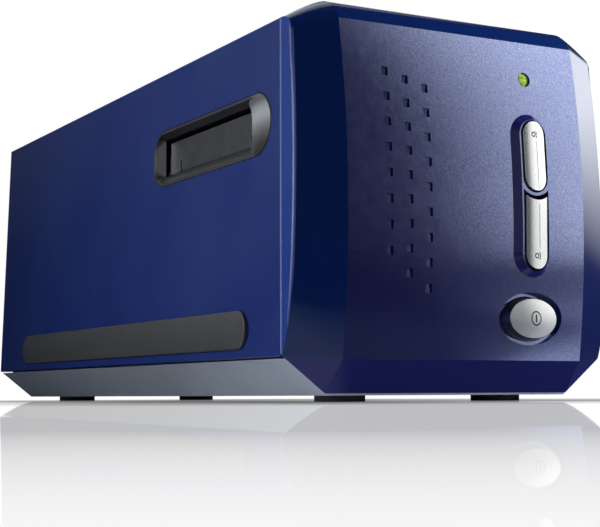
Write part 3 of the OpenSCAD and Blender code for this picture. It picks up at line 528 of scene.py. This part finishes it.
def scoop_material():
    """Satin black dish, its base colour brightening with height into a painted sheen across its upper part.
    """
    n = Nodes("inlet_scoop")
    foot, height = 0.0744, 0.0164       # of the shaded range, in metres
    painted_sheen = n.new("ValToRGB")
    stops = painted_sheen.color_ramp.elements
    for k, (at, v) in enumerate(((0.0, 0.018), (0.16, 0.035), (0.32, 0.11), (0.48, 0.25), (0.60, 0.43),
                                 (0.72, 0.50), (0.84, 0.38), (0.96, 0.16))):
        e = stops[k] if k < 2 else stops.new(at)
        e.position, e.color = at, (v, v, v, 1)
    z = n.new("SeparateXYZ", Vector=n.place).outputs["Z"]
    n.put(n.math("DIVIDE", n.math("SUBTRACT", z, foot), height), painted_sheen.inputs["Fac"])
    speck = n.mix(n.spread(n.noise(2300.0), 0, 1), (0.88, 0.88, 0.88, 1), WHITE)
    n.surface(Base_Color=n.mix(1.0, painted_sheen.outputs["Color"], speck, "MULTIPLY"),
              Roughness=n.spread(n.noise(300.0), 0.38, 0.46), Specular_IOR_Level=0.2)
    return n.mat


M["bezel_blue"] = face_material()
M["led_green"] = led_material()
M["inlet_scoop"] = scoop_material()

# every CAD node takes its slot's material first
for sub in frame["record"]["subparts"]:
    node_obj = NODES[sub["node"]]
    if len(node_obj.material_slots) == 0:
        node_obj.data.materials.append(None)
    for ms in node_obj.material_slots:
        ms.material = M[sub["material_slot"]]

# painted shade: the flap pins and springs take the black of the lenses in place of steel
for side in ("left", "right"):
    for small in ("_flap_pin", "_flap_spring"):
        for ms in NODES[side + small].material_slots:
            ms.material = M["lens_black"]

# ---------------------------------------------------------------- cover
ROOT = "housing"
cover_out = outline(14)
cover = tube_y(cover_out, inset(cover_out, WALL), lambda z: joint_at(z) + GROOVE, rear_at, "top_cover_fine")
boolean(cover, prism_y(rect(-OUTSIDE, -10, OUTSIDE, SEAM - 0.3), JOINT - 5, L, "cut"))
slot_mid, slot_half = (SLOT_Y0 + SLOT_Y1) / 2, (SLOT_Y1 - SLOT_Y0) / 2
slot_pts = [(y + slot_mid, z + SLOT_Z) for y, z in stadium(slot_half, SLOT_R, 32)]
boolean(cover, prism_x(slot_pts, -OUTSIDE, OUTSIDE, "cut"))
strip_pts = [(y, z + STRIP_Z) for y, z in stadium(STRIP_L / 2 + STRIP_GAP, STRIP_H / 2 + STRIP_GAP, 24)]
for s in (-1, 1):
    x = side_x(STRIP_Z)
    boolean(cover, prism_x(strip_pts, s * (x - 0.8), s * (x + 4), "cut"))
bevel(cover, 0.3, 3, 22)
smooth(cover, 32)
harden(cover)
finish_piece(cover, M["cover_blue"], ROOT, "cover_blue", "top_cover")

# ---------------------------------------------------------------- bezel
rear_edge = [(HW - CHAMFER + 0.8, 2.53), (HW, SEAM)] + [shoulder(i / 12) for i in range(13)]
half = [(x, joint_at(z), z) for x, z in rear_edge]
for i in range(61):
    z = FACE_FOOT + CHORD * i / 60
    half.append((FACE_HW, face_at(z), z))
for i in range(41):
    z = SEAM + (CHEEK_TOP - SEAM) * i / 40
    half.append((side_x(z), cheek_y(z), z))
half += [tuple(p) for i in range(11) for p in roll(i / 10)]
skin = half + [(-x, y, z) for x, y, z in half]
bezel = hull_obj(skin, "front_bezel_fine")


def round_cheeks(obj, width, segs):
    """Rounds the upright edges between the sides and the chamfers beside the face."""
    bm = bmesh.new()
    bm.from_mesh(obj.data)
    bm.normal_update()
    pick = []
    for e in bm.edges:
        if len(e.link_faces) != 2 or e.calc_face_angle(0) < math.radians(25):
            continue
        beside = max(abs(f.normal.x) for f in e.link_faces) > 0.9
        upright = abs((e.verts[0].co - e.verts[1].co).normalized().z) > 0.8
        if beside and upright and max(v.co.y for v in e.verts) / MM < JOINT - 3:
            pick.append(e)
    bmesh.ops.bevel(bm, geom=pick, offset=width * MM, offset_type="OFFSET", segments=segs, profile=0.5,
                    affect="EDGES", clamp_overlap=False)
    bm.to_mesh(obj.data)
    bm.free()


round_cheeks(bezel, 0.95, 5)
bevel(bezel, 0.8, 4, 14)


def ring(half_w, z0, z1, out):
    """Outline of the island on the face, or further out, with points along its straight sides too."""
    n, pts = 40, []
    for i in range(n):
        a = 2 * math.pi * (i + 0.5) / n
        zc = z1 - half_w if math.sin(a) > 0 else z0 + half_w
        z = zc + half_w * math.sin(a)
        pts.append((CTRL_X + half_w * math.cos(a), face_at(z, out), z))
    for i in range(21):
        z = z0 + half_w + (z1 - z0 - 2 * half_w) * i / 20
        pts += [(CTRL_X - half_w, face_at(z, out), z), (CTRL_X + half_w, face_at(z, out), z)]
    return pts


# raised island around the scan buttons: inside the wall, on the face and at its top
island_pts = ring(7.3, 37.3, 87.8, -2.2) + ring(7.3, 37.3, 87.8, 0) + ring(5.3, 39.3, 85.8, 2.0)
island = hull_obj(island_pts, "island")
bevel(island, 0.35, 3, 20)
boolean(bezel, island, "UNION")
# the inside
narrow, short = 1 - WALL / HW, 1 - WALL / (H / 2)
boolean(bezel, hull_obj([(x * narrow, y + WALL, H / 2 + (z - H / 2) * short) for x, y, z in skin], "cut"))
RECESS_Y = face_at(POWER_Z)


def oval(a, b, z=POWER_Z, n=72):
    turns = [2 * math.pi * i / n for i in range(n)]
    return [(CTRL_X + a * math.cos(t), z + b * math.sin(t)) for t in turns]


# pads behind the recess of the power button and behind the island, then the openings
boolean(bezel, prism_y(oval(14.05, 10.05), RECESS_Y + 1.6, RECESS_Y + 4.2, "pad"), "UNION")
boolean(bezel, prism_y(rect(CTRL_X - 8, 38.3, CTRL_X + 8, 86.8), FACE + 1.5, FACE + 3.8, "pad"), "UNION")
boolean(bezel, prism_y(oval(12.05, 8.05), FACE - 4, RECESS_Y + 2.0, "cut"))
boolean(bezel, prism_y(oval(9.8, 6.9), FACE - 4, RECESS_Y + 6, "cut"))


def upper_shape(extra, n):
    """Outline of the upper scan button, or of the hole around it."""
    return [(CTRL_X + x, UPPER_Z + z) for z, x in stadium(CAP_HALF_L + extra, CAP_R + extra, n)]


def lower_shape(extra, above, n=24):
    """Outline of the lower scan button with its hollow top, or of the hole around it."""
    r = CAP_R + extra
    dip = CAP_R ** 2 / (2 * LOWER_DIP) + 0.6
    zc, zt = LOWER_FOOT + CAP_R, LOWER_TOP - LOWER_DIP + dip
    foot = [math.pi + math.pi * i / n for i in range(n + 1)]
    pts = [(CTRL_X + r * math.cos(t), zc + r * math.sin(t)) for t in foot]
    rr = dip - above
    a = math.asin(min(1, r / rr))
    hollow = [a - 2 * a * i / n for i in range(n + 1)]
    return pts + [(CTRL_X + rr * math.sin(t), zt - rr * math.cos(t)) for t in hollow]


boolean(bezel, prism_y(upper_shape(CAP_GAP, 24), FACE - 6, FACE + 6, "cut"))
boolean(bezel, prism_y(lower_shape(CAP_GAP, 1.35), FACE - 6, FACE + 6, "cut"))
boolean(bezel, prism_y(oval(2.3, 2.3, LED_Z, 40), FACE - 4, FACE + 9, "cut"))
# three columns of shallow pockets: x, height of the first one, pitch and number
pockets = []
for x, top, pitch, n in ((-28.9, 96.35, 7.58, 8), (-22.0, 94.45, 7.17, 9), (-15.1, 92.36, 7.43, 9)):
    for i in range(n):
        z = top - pitch * i
        y = face_at(z)
        pockets.append(prism_y(rect(x - 1.1, z - 1.3, x + 1.1, z + 1.3), y - 1, y + 0.6, "cut"))
boolean(bezel, joined(pockets, "cuts"))
bevel(bezel, 0.2, 3, 38)

# the face keeps its own material; each region around it takes a copy of the smooth plastic whose colour is
# painted light and shade
BEZEL_PAINTED_LIGHT_LOOKS = ("bezel_blue", "bezel_smooth_painted_shade", "bezel_side_painted_light", "bezel_low_painted_shade", "bezel_right_painted_shade", "bezel_edge_painted_highlight")


def bezel_painted_light_look(poly):
    """The front face is textured. Around it, each region takes a copy of the smooth plastic, coloured as
    painted light and shade.
    """
    c, nrm = poly.center / MM, poly.normal
    if abs(c.x) < FACE_HW - 0.6 and FACE_FOOT + 0.6 < c.z < FACE_TOP - 0.6 and nrm.y < -0.97:
        return "bezel_blue"
    if abs(c.x) > FACE_HW + 8 and abs(nrm.x) > 0.998:
        return "bezel_side_painted_light"
    if c.z < FACE_FOOT + 0.6 and nrm.z < -0.2:
        return "bezel_low_painted_shade"
    if abs(c.x - CTRL_X) < 8.6 and 36 < c.z < 89 and -0.95 < nrm.y < -0.3 and c.y - SHIFT < FACE + 1:
        return "bezel_low_painted_shade"
    if abs(c.x) > FACE_HW + 8 and 0.72 < abs(nrm.x) <= 0.998 and abs(nrm.z) < 0.2:
        return "bezel_edge_painted_highlight"
    if c.x > FACE_HW + 0.6 and nrm.x > 0.3 and nrm.y < -0.3:
        return "bezel_right_painted_shade"
    return "bezel_smooth_painted_shade"


bezel.data.materials.clear()
for poly in bezel.data.polygons:
    poly.material_index = BEZEL_PAINTED_LIGHT_LOOKS.index(bezel_painted_light_look(poly))
smooth(bezel, 32)


def face_way(z):
    """Direction in which the curved face looks at a height."""
    return Vector((0, -math.sqrt(FACE_R ** 2 - (z - FACE_MID) ** 2), z - FACE_MID))


def face_normal(poly):
    """The face's own normals for harden(), or None off the face."""
    c = poly.center / MM
    if abs(c.x) > FACE_HW + 0.2 or not FACE_FOOT < c.z < FACE_TOP:
        return None
    if abs(c.y - SHIFT - face_at(c.z)) > 0.06:
        return None
    if poly.normal.dot(face_way(c.z).normalized()) < 0.9995:
        return None
    return lambda co: face_way(co.z / MM)


harden(bezel, face_normal)
finish_piece(bezel, [M[k] for k in BEZEL_PAINTED_LIGHT_LOOKS], ROOT, "bezel_blue", "front_bezel")

# neck in the groove behind the bezel, in a light lavender that paints a highlight along the joint
neck = tube_y(inset(cover_out, 0.12), inset(cover_out, WALL - 0.1), lambda z: joint_at(z) - 0.3,
              lambda z: joint_at(z) + GROOVE + 0.1, "bezel_neck")
boolean(neck, prism_y(rect(-OUTSIDE, -10, OUTSIDE, SEAM + 0.4), JOINT - 5, JOINT + 20, "cut"))
smooth(neck)
finish_piece(neck, M["groove_painted_highlight"], ROOT, "bezel_blue")


# ---------------------------------------------------------------- tray, frames, flaps, strips, feet
def scoop(side):
    """Shallow finger dish at the front end of a side slot."""
    way, n = (-1 if side == "left" else 1), 28
    start, long, radius, deep = 0.55, 16.75, 9.45, 2.8
    bm = bmesh.new()
    grid = []
    for i in range(n + 1):
        y = start + long * (i / n) ** 1.3
        h = math.sqrt(radius ** 2 - max(0.0, 10.0 - y) ** 2)
        hi, lo = min(h, 7.5 + (17.4 - y) * 0.5), min(h, 5.7 + (17.4 - y) * 0.5)
        row = []
        for j in range(n + 1):
            z = SLOT_Z - lo + (hi + lo) * j / n
            depth = deep * ((y - start) / (long + 0.1)) ** 3.0 * (1 - ((z - SLOT_Z) / radius) ** 4) - 0.2
            row.append(bm.verts.new(to_m((way * (side_x(z) - depth), SLOT_Y0 + y, z))))
        grid.append(row)
    for i in range(n):
        for j in range(n):
            bm.faces.new((grid[i][j], grid[i + 1][j], grid[i + 1][j + 1], grid[i][j + 1]))
    obj = obj_from(bm, side + "_inlet_scoop")
    for p in obj.data.polygons:
        if p.normal.x * way < 0:
            p.flip()
        p.use_smooth = True
    return obj


tray = copy_node("base_tray", 0.3, 2, 20)
finish_piece(tray, M["tray_grey"], ROOT, "tray_grey", "base_tray")
for side in ("left", "right"):
    inlet = copy_node(side + "_inlet_frame", 0.3, 3, 24)
    inlet.data.materials.clear()
    # painted shade: the forward-facing wall at the rear end of each slot takes the black of the lenses
    for p in inlet.data.polygons:
        p.material_index = 1 if p.normal.y < -0.9 and p.center.y / MM > SLOT_Y0 + 60 else 0
    finish_piece(inlet, [M["inlet_black"], M["lens_black"]], ROOT, "inlet_black", side + "_inlet_frame")
    finish_piece(scoop(side), M["inlet_scoop"], ROOT, "inlet_black")
    flap = copy_node(side + "_flap", 0.15, 2, 30)
    finish_piece(flap, M["flap_black"], side + "_flap_body", "flap_black", side + "_flap")
    strip = copy_node(side + "_side_strip", 0.7, 5, 25, 40)
    finish_piece(strip, M["strip_grey"], ROOT, "strip_grey", side + "_side_strip")
feet = copy_node("rubber_feet", 0.4, 3, 30, 40)
finish_piece(feet, M["foot_rubber"], ROOT, "foot_rubber", "rubber_feet")


# ---------------------------------------------------------------- buttons
def power_cap():
    """Oval cap: sloping wall, narrow rounded rim and a shallow dome."""
    n = 96
    rows = [(9.5, 6.6, 5.0), (9.5, 6.6, 1.2)]       # half width, half height, and depth in the recess
    rows += [(9.5 - 0.6 * k, 6.6 - 0.55 * k, 1.2 - 2.4 * k) for k in (0.15, 0.4, 0.7, 1.0)]
    for a0 in range(15, 76, 15):
        t = math.radians(a0)
        rows.append((8.9 - 0.3 * (1 - math.cos(t)), 6.05 - 0.3 * (1 - math.cos(t)), -1.2 - 0.3 * math.sin(t)))
    for i in range(13):
        k = 1 - i / 13
        rows.append((8.6 * k, 5.75 * k, -1.5 - 0.85 * (1 - k * k)))
    bm = bmesh.new()
    rings = [[bm.verts.new(to_m((x, RECESS_Y + y, z))) for x, z in oval(a, b, n=n)] for a, b, y in rows]
    for r0, r1 in zip(rings, rings[1:]):
        for i in range(n):
            j = (i + 1) % n
            bm.faces.new((r0[i], r0[j], r1[j], r1[i]))
    bm.faces.new(rings[-1])
    bm.faces.new(rings[0][::-1])
    obj = obj_from(bm, "power_button_fine")
    smooth(obj, 24)
    # the steep wall takes a darker copy of the silver: painted shade in the gap around the cap
    for p in obj.data.polygons:
        p.material_index = 1 if abs(p.normal.y) < 0.6 else 0
    return obj


def scan_cap(shape, mid, name):
    """Slim cap: rounded on its left, flat on its right, with a ridge between."""
    tilt = math.asin((mid - FACE_MID) / FACE_R)
    front = face_at(mid, 2.5)
    edge, profile = 5.4, []
    for i in range(19):
        x = -edge + (edge + RIDGE_X) * i / 18
        k = RIDGE_X - x
        profile.append((x, 0.00267 * k ** 3 - 0.06 * k))
    profile += [(edge, 0.2126 * (edge - RIDGE_X)), (edge, 7.0), (-edge, 7.0)]
    ends = [[(CTRL_X + x, front + d * math.cos(tilt) + t * math.sin(tilt),
              mid - d * math.sin(tilt) + t * math.cos(tilt)) for x, d in profile] for t in (-32, 32)]
    obj = prism_y(shape, FACE - 8, FACE + 4.5, name)
    boolean(obj, prism(*ends, "cut"), "INTERSECT")
    bevel(obj, 0.3, 4, 34)
    smooth(obj, 34)
    harden(obj)
    return obj


pressed = {"power_button": power_cap()}
finish_piece(pressed["power_button"], [M["button_silver"], M["button_wall_painted_shade"]],
             "power_button_body", "button_silver", "power_button")
for which, shape, mid in (("upper", upper_shape(0, 28), UPPER_Z), ("lower", lower_shape(0, 0, 28), LOWER_Z)):
    name = "scan_button_" + which
    pressed[name] = scan_cap(shape, mid, name + "_fine")
    finish_piece(pressed[name], M["button_satin"], which + "_button_body", "button_silver", name)
led = copy_node("led_lens", 0.15, 3, 30, 40)
finish_piece(led, M["led_green"], ROOT, "led_green", "led_lens")


# small marks printed on the buttons, and a thin grey line laid along each scan button's ridge
def mark(shapes, on, x0, z0, name, body, look="icon_dark"):
    """Flat rings and bars laid on the front of a piece.

    Each shape is a run of point pairs, outer and inner, and whether its end joins its start.
    """
    bm = bmesh.new()
    for run, closed in shapes:
        rows = []
        for pair in run:
            row = []
            for x, z in pair:
                start = Vector((x0 + x, -150, z0 + z)) * MM
                where = on.ray_cast(start, Vector((0, 1, 0)))[1]
                row.append(bm.verts.new(where - Vector((0, 0.02, 0)) * MM))
            rows.append(row)
        for i in range(len(rows) - (0 if closed else 1)):
            a, b = rows[i], rows[(i + 1) % len(rows)]
            bm.faces.new((a[0], a[1], b[1], b[0]))
    obj = obj_from(bm, name)
    for p in obj.data.polygons:
        if p.normal.y > 0:
            p.flip()
    return finish_piece(obj, M[look], body, "button_silver")


def ring_run(r, w, a0=0.0, a1=360.0, n=48, squeeze=1.0):
    """A ring, or an arc from a0 to a1 degrees, of width w."""
    closed = a1 - a0 >= 360
    steps = n if closed else n + 1
    run = []
    for i in range(steps):
        a = math.radians(a0 + (a1 - a0) * i / n)
        run.append([(k * math.cos(a) * squeeze, k * math.sin(a)) for k in (r + w / 2, r - w / 2)])
    return run, closed


def bar_run(w, low, high):
    """An upright bar of width w."""
    levels = [low + (high - low) * i / 6 for i in range(7)]
    return [[(-w / 2, z), (w / 2, z)] for z in levels], False


dot_and_arc = [ring_run(0.66, 0.36), ring_run(1.42, 0.32, -52, 52, 16)]
for which, z in (("upper", 81.1), ("lower", 43.7)):
    mark(dot_and_arc, pressed["scan_button_" + which], CTRL_X - 0.35, z,
         "mark_" + which, which + "_button_body")
for which, mid, low, high in (("upper", UPPER_Z, -10.2, 4.4), ("lower", LOWER_Z, -4.8, 8.6)):
    mark([bar_run(0.22, low, high)], pressed["scan_button_" + which], CTRL_X + RIDGE_X, mid,
         "ridge_" + which, which + "_button_body", "ridge_grey")
mark([ring_run(2.05, 0.42, squeeze=0.86), bar_run(0.5, -1.15, 1.15)], pressed["power_button"],
     CTRL_X + 0.35, POWER_Z, "mark_power", "power_button_body")

# ---------------------------------------------------------------- camera
# as solved from the photograph: turn, rise and roll in radians, focal length in pixels, place in mm
YAW, PITCH, TILT, FOCAL = 0.4855, 0.1153, -0.005, 1379.7586
PLACE = Vector((-248.7507, -465.7711 + SHIFT, 2.2224))
PHOTO_W, SENSOR = 600, 36.0
fwd = Vector((math.sin(YAW) * math.cos(PITCH), math.cos(YAW) * math.cos(PITCH), math.sin(PITCH)))
right = Vector((math.cos(YAW), -math.sin(YAW), 0))
up = right.cross(fwd)
r2 = right * math.cos(TILT) + up * math.sin(TILT)
u2 = up * math.cos(TILT) - right * math.sin(TILT)
cam = bpy.data.cameras.new("camera")
cam.sensor_width, cam.lens = SENSOR, FOCAL * SENSOR / PHOTO_W
cam.shift_x, cam.shift_y = 50 / PHOTO_W, -28.5 / PHOTO_W
cam.clip_start, cam.clip_end = 0.005, 50
cam_obj = bpy.data.objects.new("camera", cam)
rot = Matrix((r2, u2, -fwd)).transposed().to_4x4()
cam_obj.matrix_world = Matrix.Translation(PLACE * MM) @ rot
bpy.context.scene.collection.objects.link(cam_obj)
bpy.context.scene.camera = cam_obj


# ---------------------------------------------------------------- floor, world, lights
def floor_material():
    """White to the camera, with a painted soft shadow around the part and a faint mirror image of it."""
    n = Nodes("floor")
    n.t.nodes.remove(n.b)
    path = n.new("LightPath").outputs
    camera, glossy = path["Is Camera Ray"], path["Is Glossy Ray"]
    sep = n.new("SeparateXYZ", Vector=n.place)
    px, py = sep.outputs["X"], sep.outputs["Y"]
    # distance from the part's footprint, in metres
    beside = n.math("MAXIMUM", n.math("SUBTRACT", n.math("ABSOLUTE", px), 0.055), 0.0)
    beyond = n.math("MAXIMUM", n.math("SUBTRACT", n.math("ABSOLUTE", py), 0.13), 0.0)
    gap = n.math("SQRT", n.math("ADD", n.times(beside, beside), n.times(beyond, beyond)))

    # painted shadow: close contact shade from occlusion, and a wider one that fades out around the footprint
    near_part = n.new("AmbientOcclusion", Distance=0.018)
    near_part.samples = 12
    contact = n.math("MAXIMUM", n.math("POWER", near_part.outputs["AO"], 2.0), 0.5)
    painted_shadow = n.math("SUBTRACT", 1.0, n.times(n.ramp(gap, 0.12, 0.0), 0.68))
    tone = n.mix(1.0, WHITE, n.math("MINIMUM", contact, painted_shadow), "MULTIPLY")
    seen = n.shader("Emission", tone, 1.0)
    # a slight tilt puts the mirror image where the photograph has it
    tilt = n.new("CombineXYZ", X=-0.0030, Y=-0.0057, Z=1.0)
    mirror = n.new("BsdfGlossy", Color=tone, Roughness=0.02, Normal=tilt.outputs[0]).outputs[0]
    fade = n.times(n.ramp(gap, 0.375, 0.30), 0.49)

    # a painted glow on the floor, seen only in the part's reflections: pale at the right and beside the tray,
    # and dark elsewhere
    ahead = n.math("ADD", py, 0.136)
    turn = n.math("MULTIPLY", n.math("ARCTAN2", px, ahead), DEGREES)
    near = n.math("SQRT", n.math("ADD", n.times(px, px), n.times(ahead, ahead)))
    share = n.ramp(turn, 150, 128)
    reach = n.math("ADD", 0.13, n.times(n.ramp(near, 0.18, 0.24), 0.38))
    right_side = n.math("ADD", n.times(share, share, n.ramp(turn, 98, 112), reach),
                        n.times(n.ramp(turn, 128, 118), n.ramp(turn, 100, 108), 0.55))
    left_side = n.times(n.ramp(px, -0.034, -0.048), n.ramp(px, -0.30, -0.20),
                        n.ramp(py, -0.01, -0.13), n.ramp(py, -0.30, -0.16), 0.5)
    glow = n.times(n.math("ADD", right_side, left_side), glossy)
    grey = n.mix(glossy, (0.80, 0.80, 0.81, 1), (0.05, 0.055, 0.07, 1))
    painted_pool = n.shader("Emission", (0.82, 0.87, 1.0, 1), glow)
    lit = n.shader("AddShader", n.shader("BsdfDiffuse", grey), painted_pool)
    white = n.shader("MixShader", camera, lit, seen)
    mixed = n.shader("MixShader", n.times(fade, camera), white, mirror)
    n.put(mixed, n.t.nodes["Material Output"].inputs["Surface"])
    return n.mat


bm = bmesh.new()
bmesh.ops.create_grid(bm, x_segments=1, y_segments=1, size=8.0)
floor = obj_from(bm, "floor")
floor.data.materials.append(floor_material())


def world_nodes():
    """White to the camera, softboxes and a dim sky to mirror-like surfaces, and an even fill to all else."""
    world = bpy.data.worlds.new("studio")
    bpy.context.scene.world = world
    world.use_nodes = True
    n = Tree(world.node_tree)
    n.t.nodes.clear()
    way = n.new("VectorMath")
    way.operation = "NORMALIZE"
    n.put(n.new("TexCoord").outputs["Generated"], way.inputs[0])
    sep = n.new("SeparateXYZ", Vector=way.outputs[0])
    turn = n.math("MULTIPLY", n.math("ARCTAN2", sep.outputs["X"], sep.outputs["Y"]), DEGREES)
    rise = n.math("MULTIPLY", n.math("ARCSINE", sep.outputs["Z"]), DEGREES)

    def patch(turns, rises):
        """A patch of sky with soft edges, each a ramp between two angles in degrees."""
        across = n.times(*[n.ramp(turn, *r) for r in turns])
        return n.times(across, n.times(*[n.ramp(rise, *r) for r in rises]))

    # the white behind the part, two boxes above that, the left box and a weak one before the part
    behind = patch([(56, 48), (0, 10)], [(16, 11)])
    above = patch([(27, 20), (-10, 0)], [(46, 36), (8, 12)])
    top = patch([(54, 47), (-20, 0)], [(38, 44), (75, 60)])
    left_box = patch([(-42, -54), (-136, -114)], [(55, 35), (-14, -2)])
    front_box = patch([(154, 162), (184, 170)], [(-6, 20)])
    rim = n.math("MAXIMUM", above, n.times(left_box, 0.45))
    glow = n.math("ADD", n.times(rim, 2.4), n.math("ADD", n.times(front_box, 0.5), n.times(top, 0.6)))
    # the tall box at the right, with a leaning edge and brighter at its left
    off_level = n.math("ABSOLUTE", n.math("SUBTRACT", rise, 8.0))
    lean = n.math("SUBTRACT", n.math("ADD", turn, n.times(off_level, 0.05)), 0.5)
    tall = n.math("ADD", n.times(n.ramp(rise, -14, 6), n.ramp(turn, 100, 122)),
                  n.times(n.ramp(rise, 3, 15), n.ramp(turn, 118, 104), 3.0))
    right_box = n.times(n.ramp(lean, 143.9, 136.2), n.ramp(turn, 62, 84), tall, n.ramp(rise, 46, 36))

    def sky(color, strength):
        return n.shader("Background", color, strength)

    white, fill, dim = sky(WHITE, 1.0), sky((0.72, 0.80, 1.0, 1), 0.12), sky((0.75, 0.85, 1.0, 1), 0.02)
    boxes = n.shader("AddShader", dim, sky((0.94, 0.97, 1.0, 1), n.times(right_box, 1.65)))
    boxes = n.shader("AddShader", boxes, sky((0.86, 0.9, 1.0, 1), glow))
    mirrored = n.shader("MixShader", behind, boxes, white)
    path = n.new("LightPath").outputs
    lit = n.shader("MixShader", path["Is Glossy Ray"], fill, mirrored)
    through = n.math("MAXIMUM", path["Is Camera Ray"], path["Is Transmission Ray"])
    n.put(n.shader("MixShader", through, lit, white), n.new("OutputWorld").inputs["Surface"])


world_nodes()


def area(name, where, at, size, power, color=(1, 1, 1), spread=180, glossy=True):
    """A square lamp that looks from one point to another."""
    d = bpy.data.lights.new(name, "AREA")
    d.energy, d.size, d.color = power, size, color
    d.spread = math.radians(spread)
    o = bpy.data.objects.new(name, d)
    o.location = where
    o.rotation_euler = (Vector(at) - Vector(where)).to_track_quat("-Z", "Y").to_euler()
    o.visible_camera = False
    o.visible_glossy = glossy
    bpy.context.scene.collection.objects.link(o)


area("front_right", (0.26, -0.31, 0.24), (0.06, -0.13, 0.085), 0.10, 0.2, (0.80, 0.88, 1.0), 70, False)
area("left", (-0.60, 0.15, 0.20), (-0.058, -0.16, 0.06), 0.14, 0.26, (0.92, 0.96, 1.0), 60)
area("top", (0.0, 0.25, 0.9), (0, 0.05, 0.05), 0.5, 0.6)
area("rear", (0.5, 0.8, 0.5), (0, 0.1, 0.06), 0.5, 0.8)

bpy.context.scene.view_settings.view_transform = "Standard"
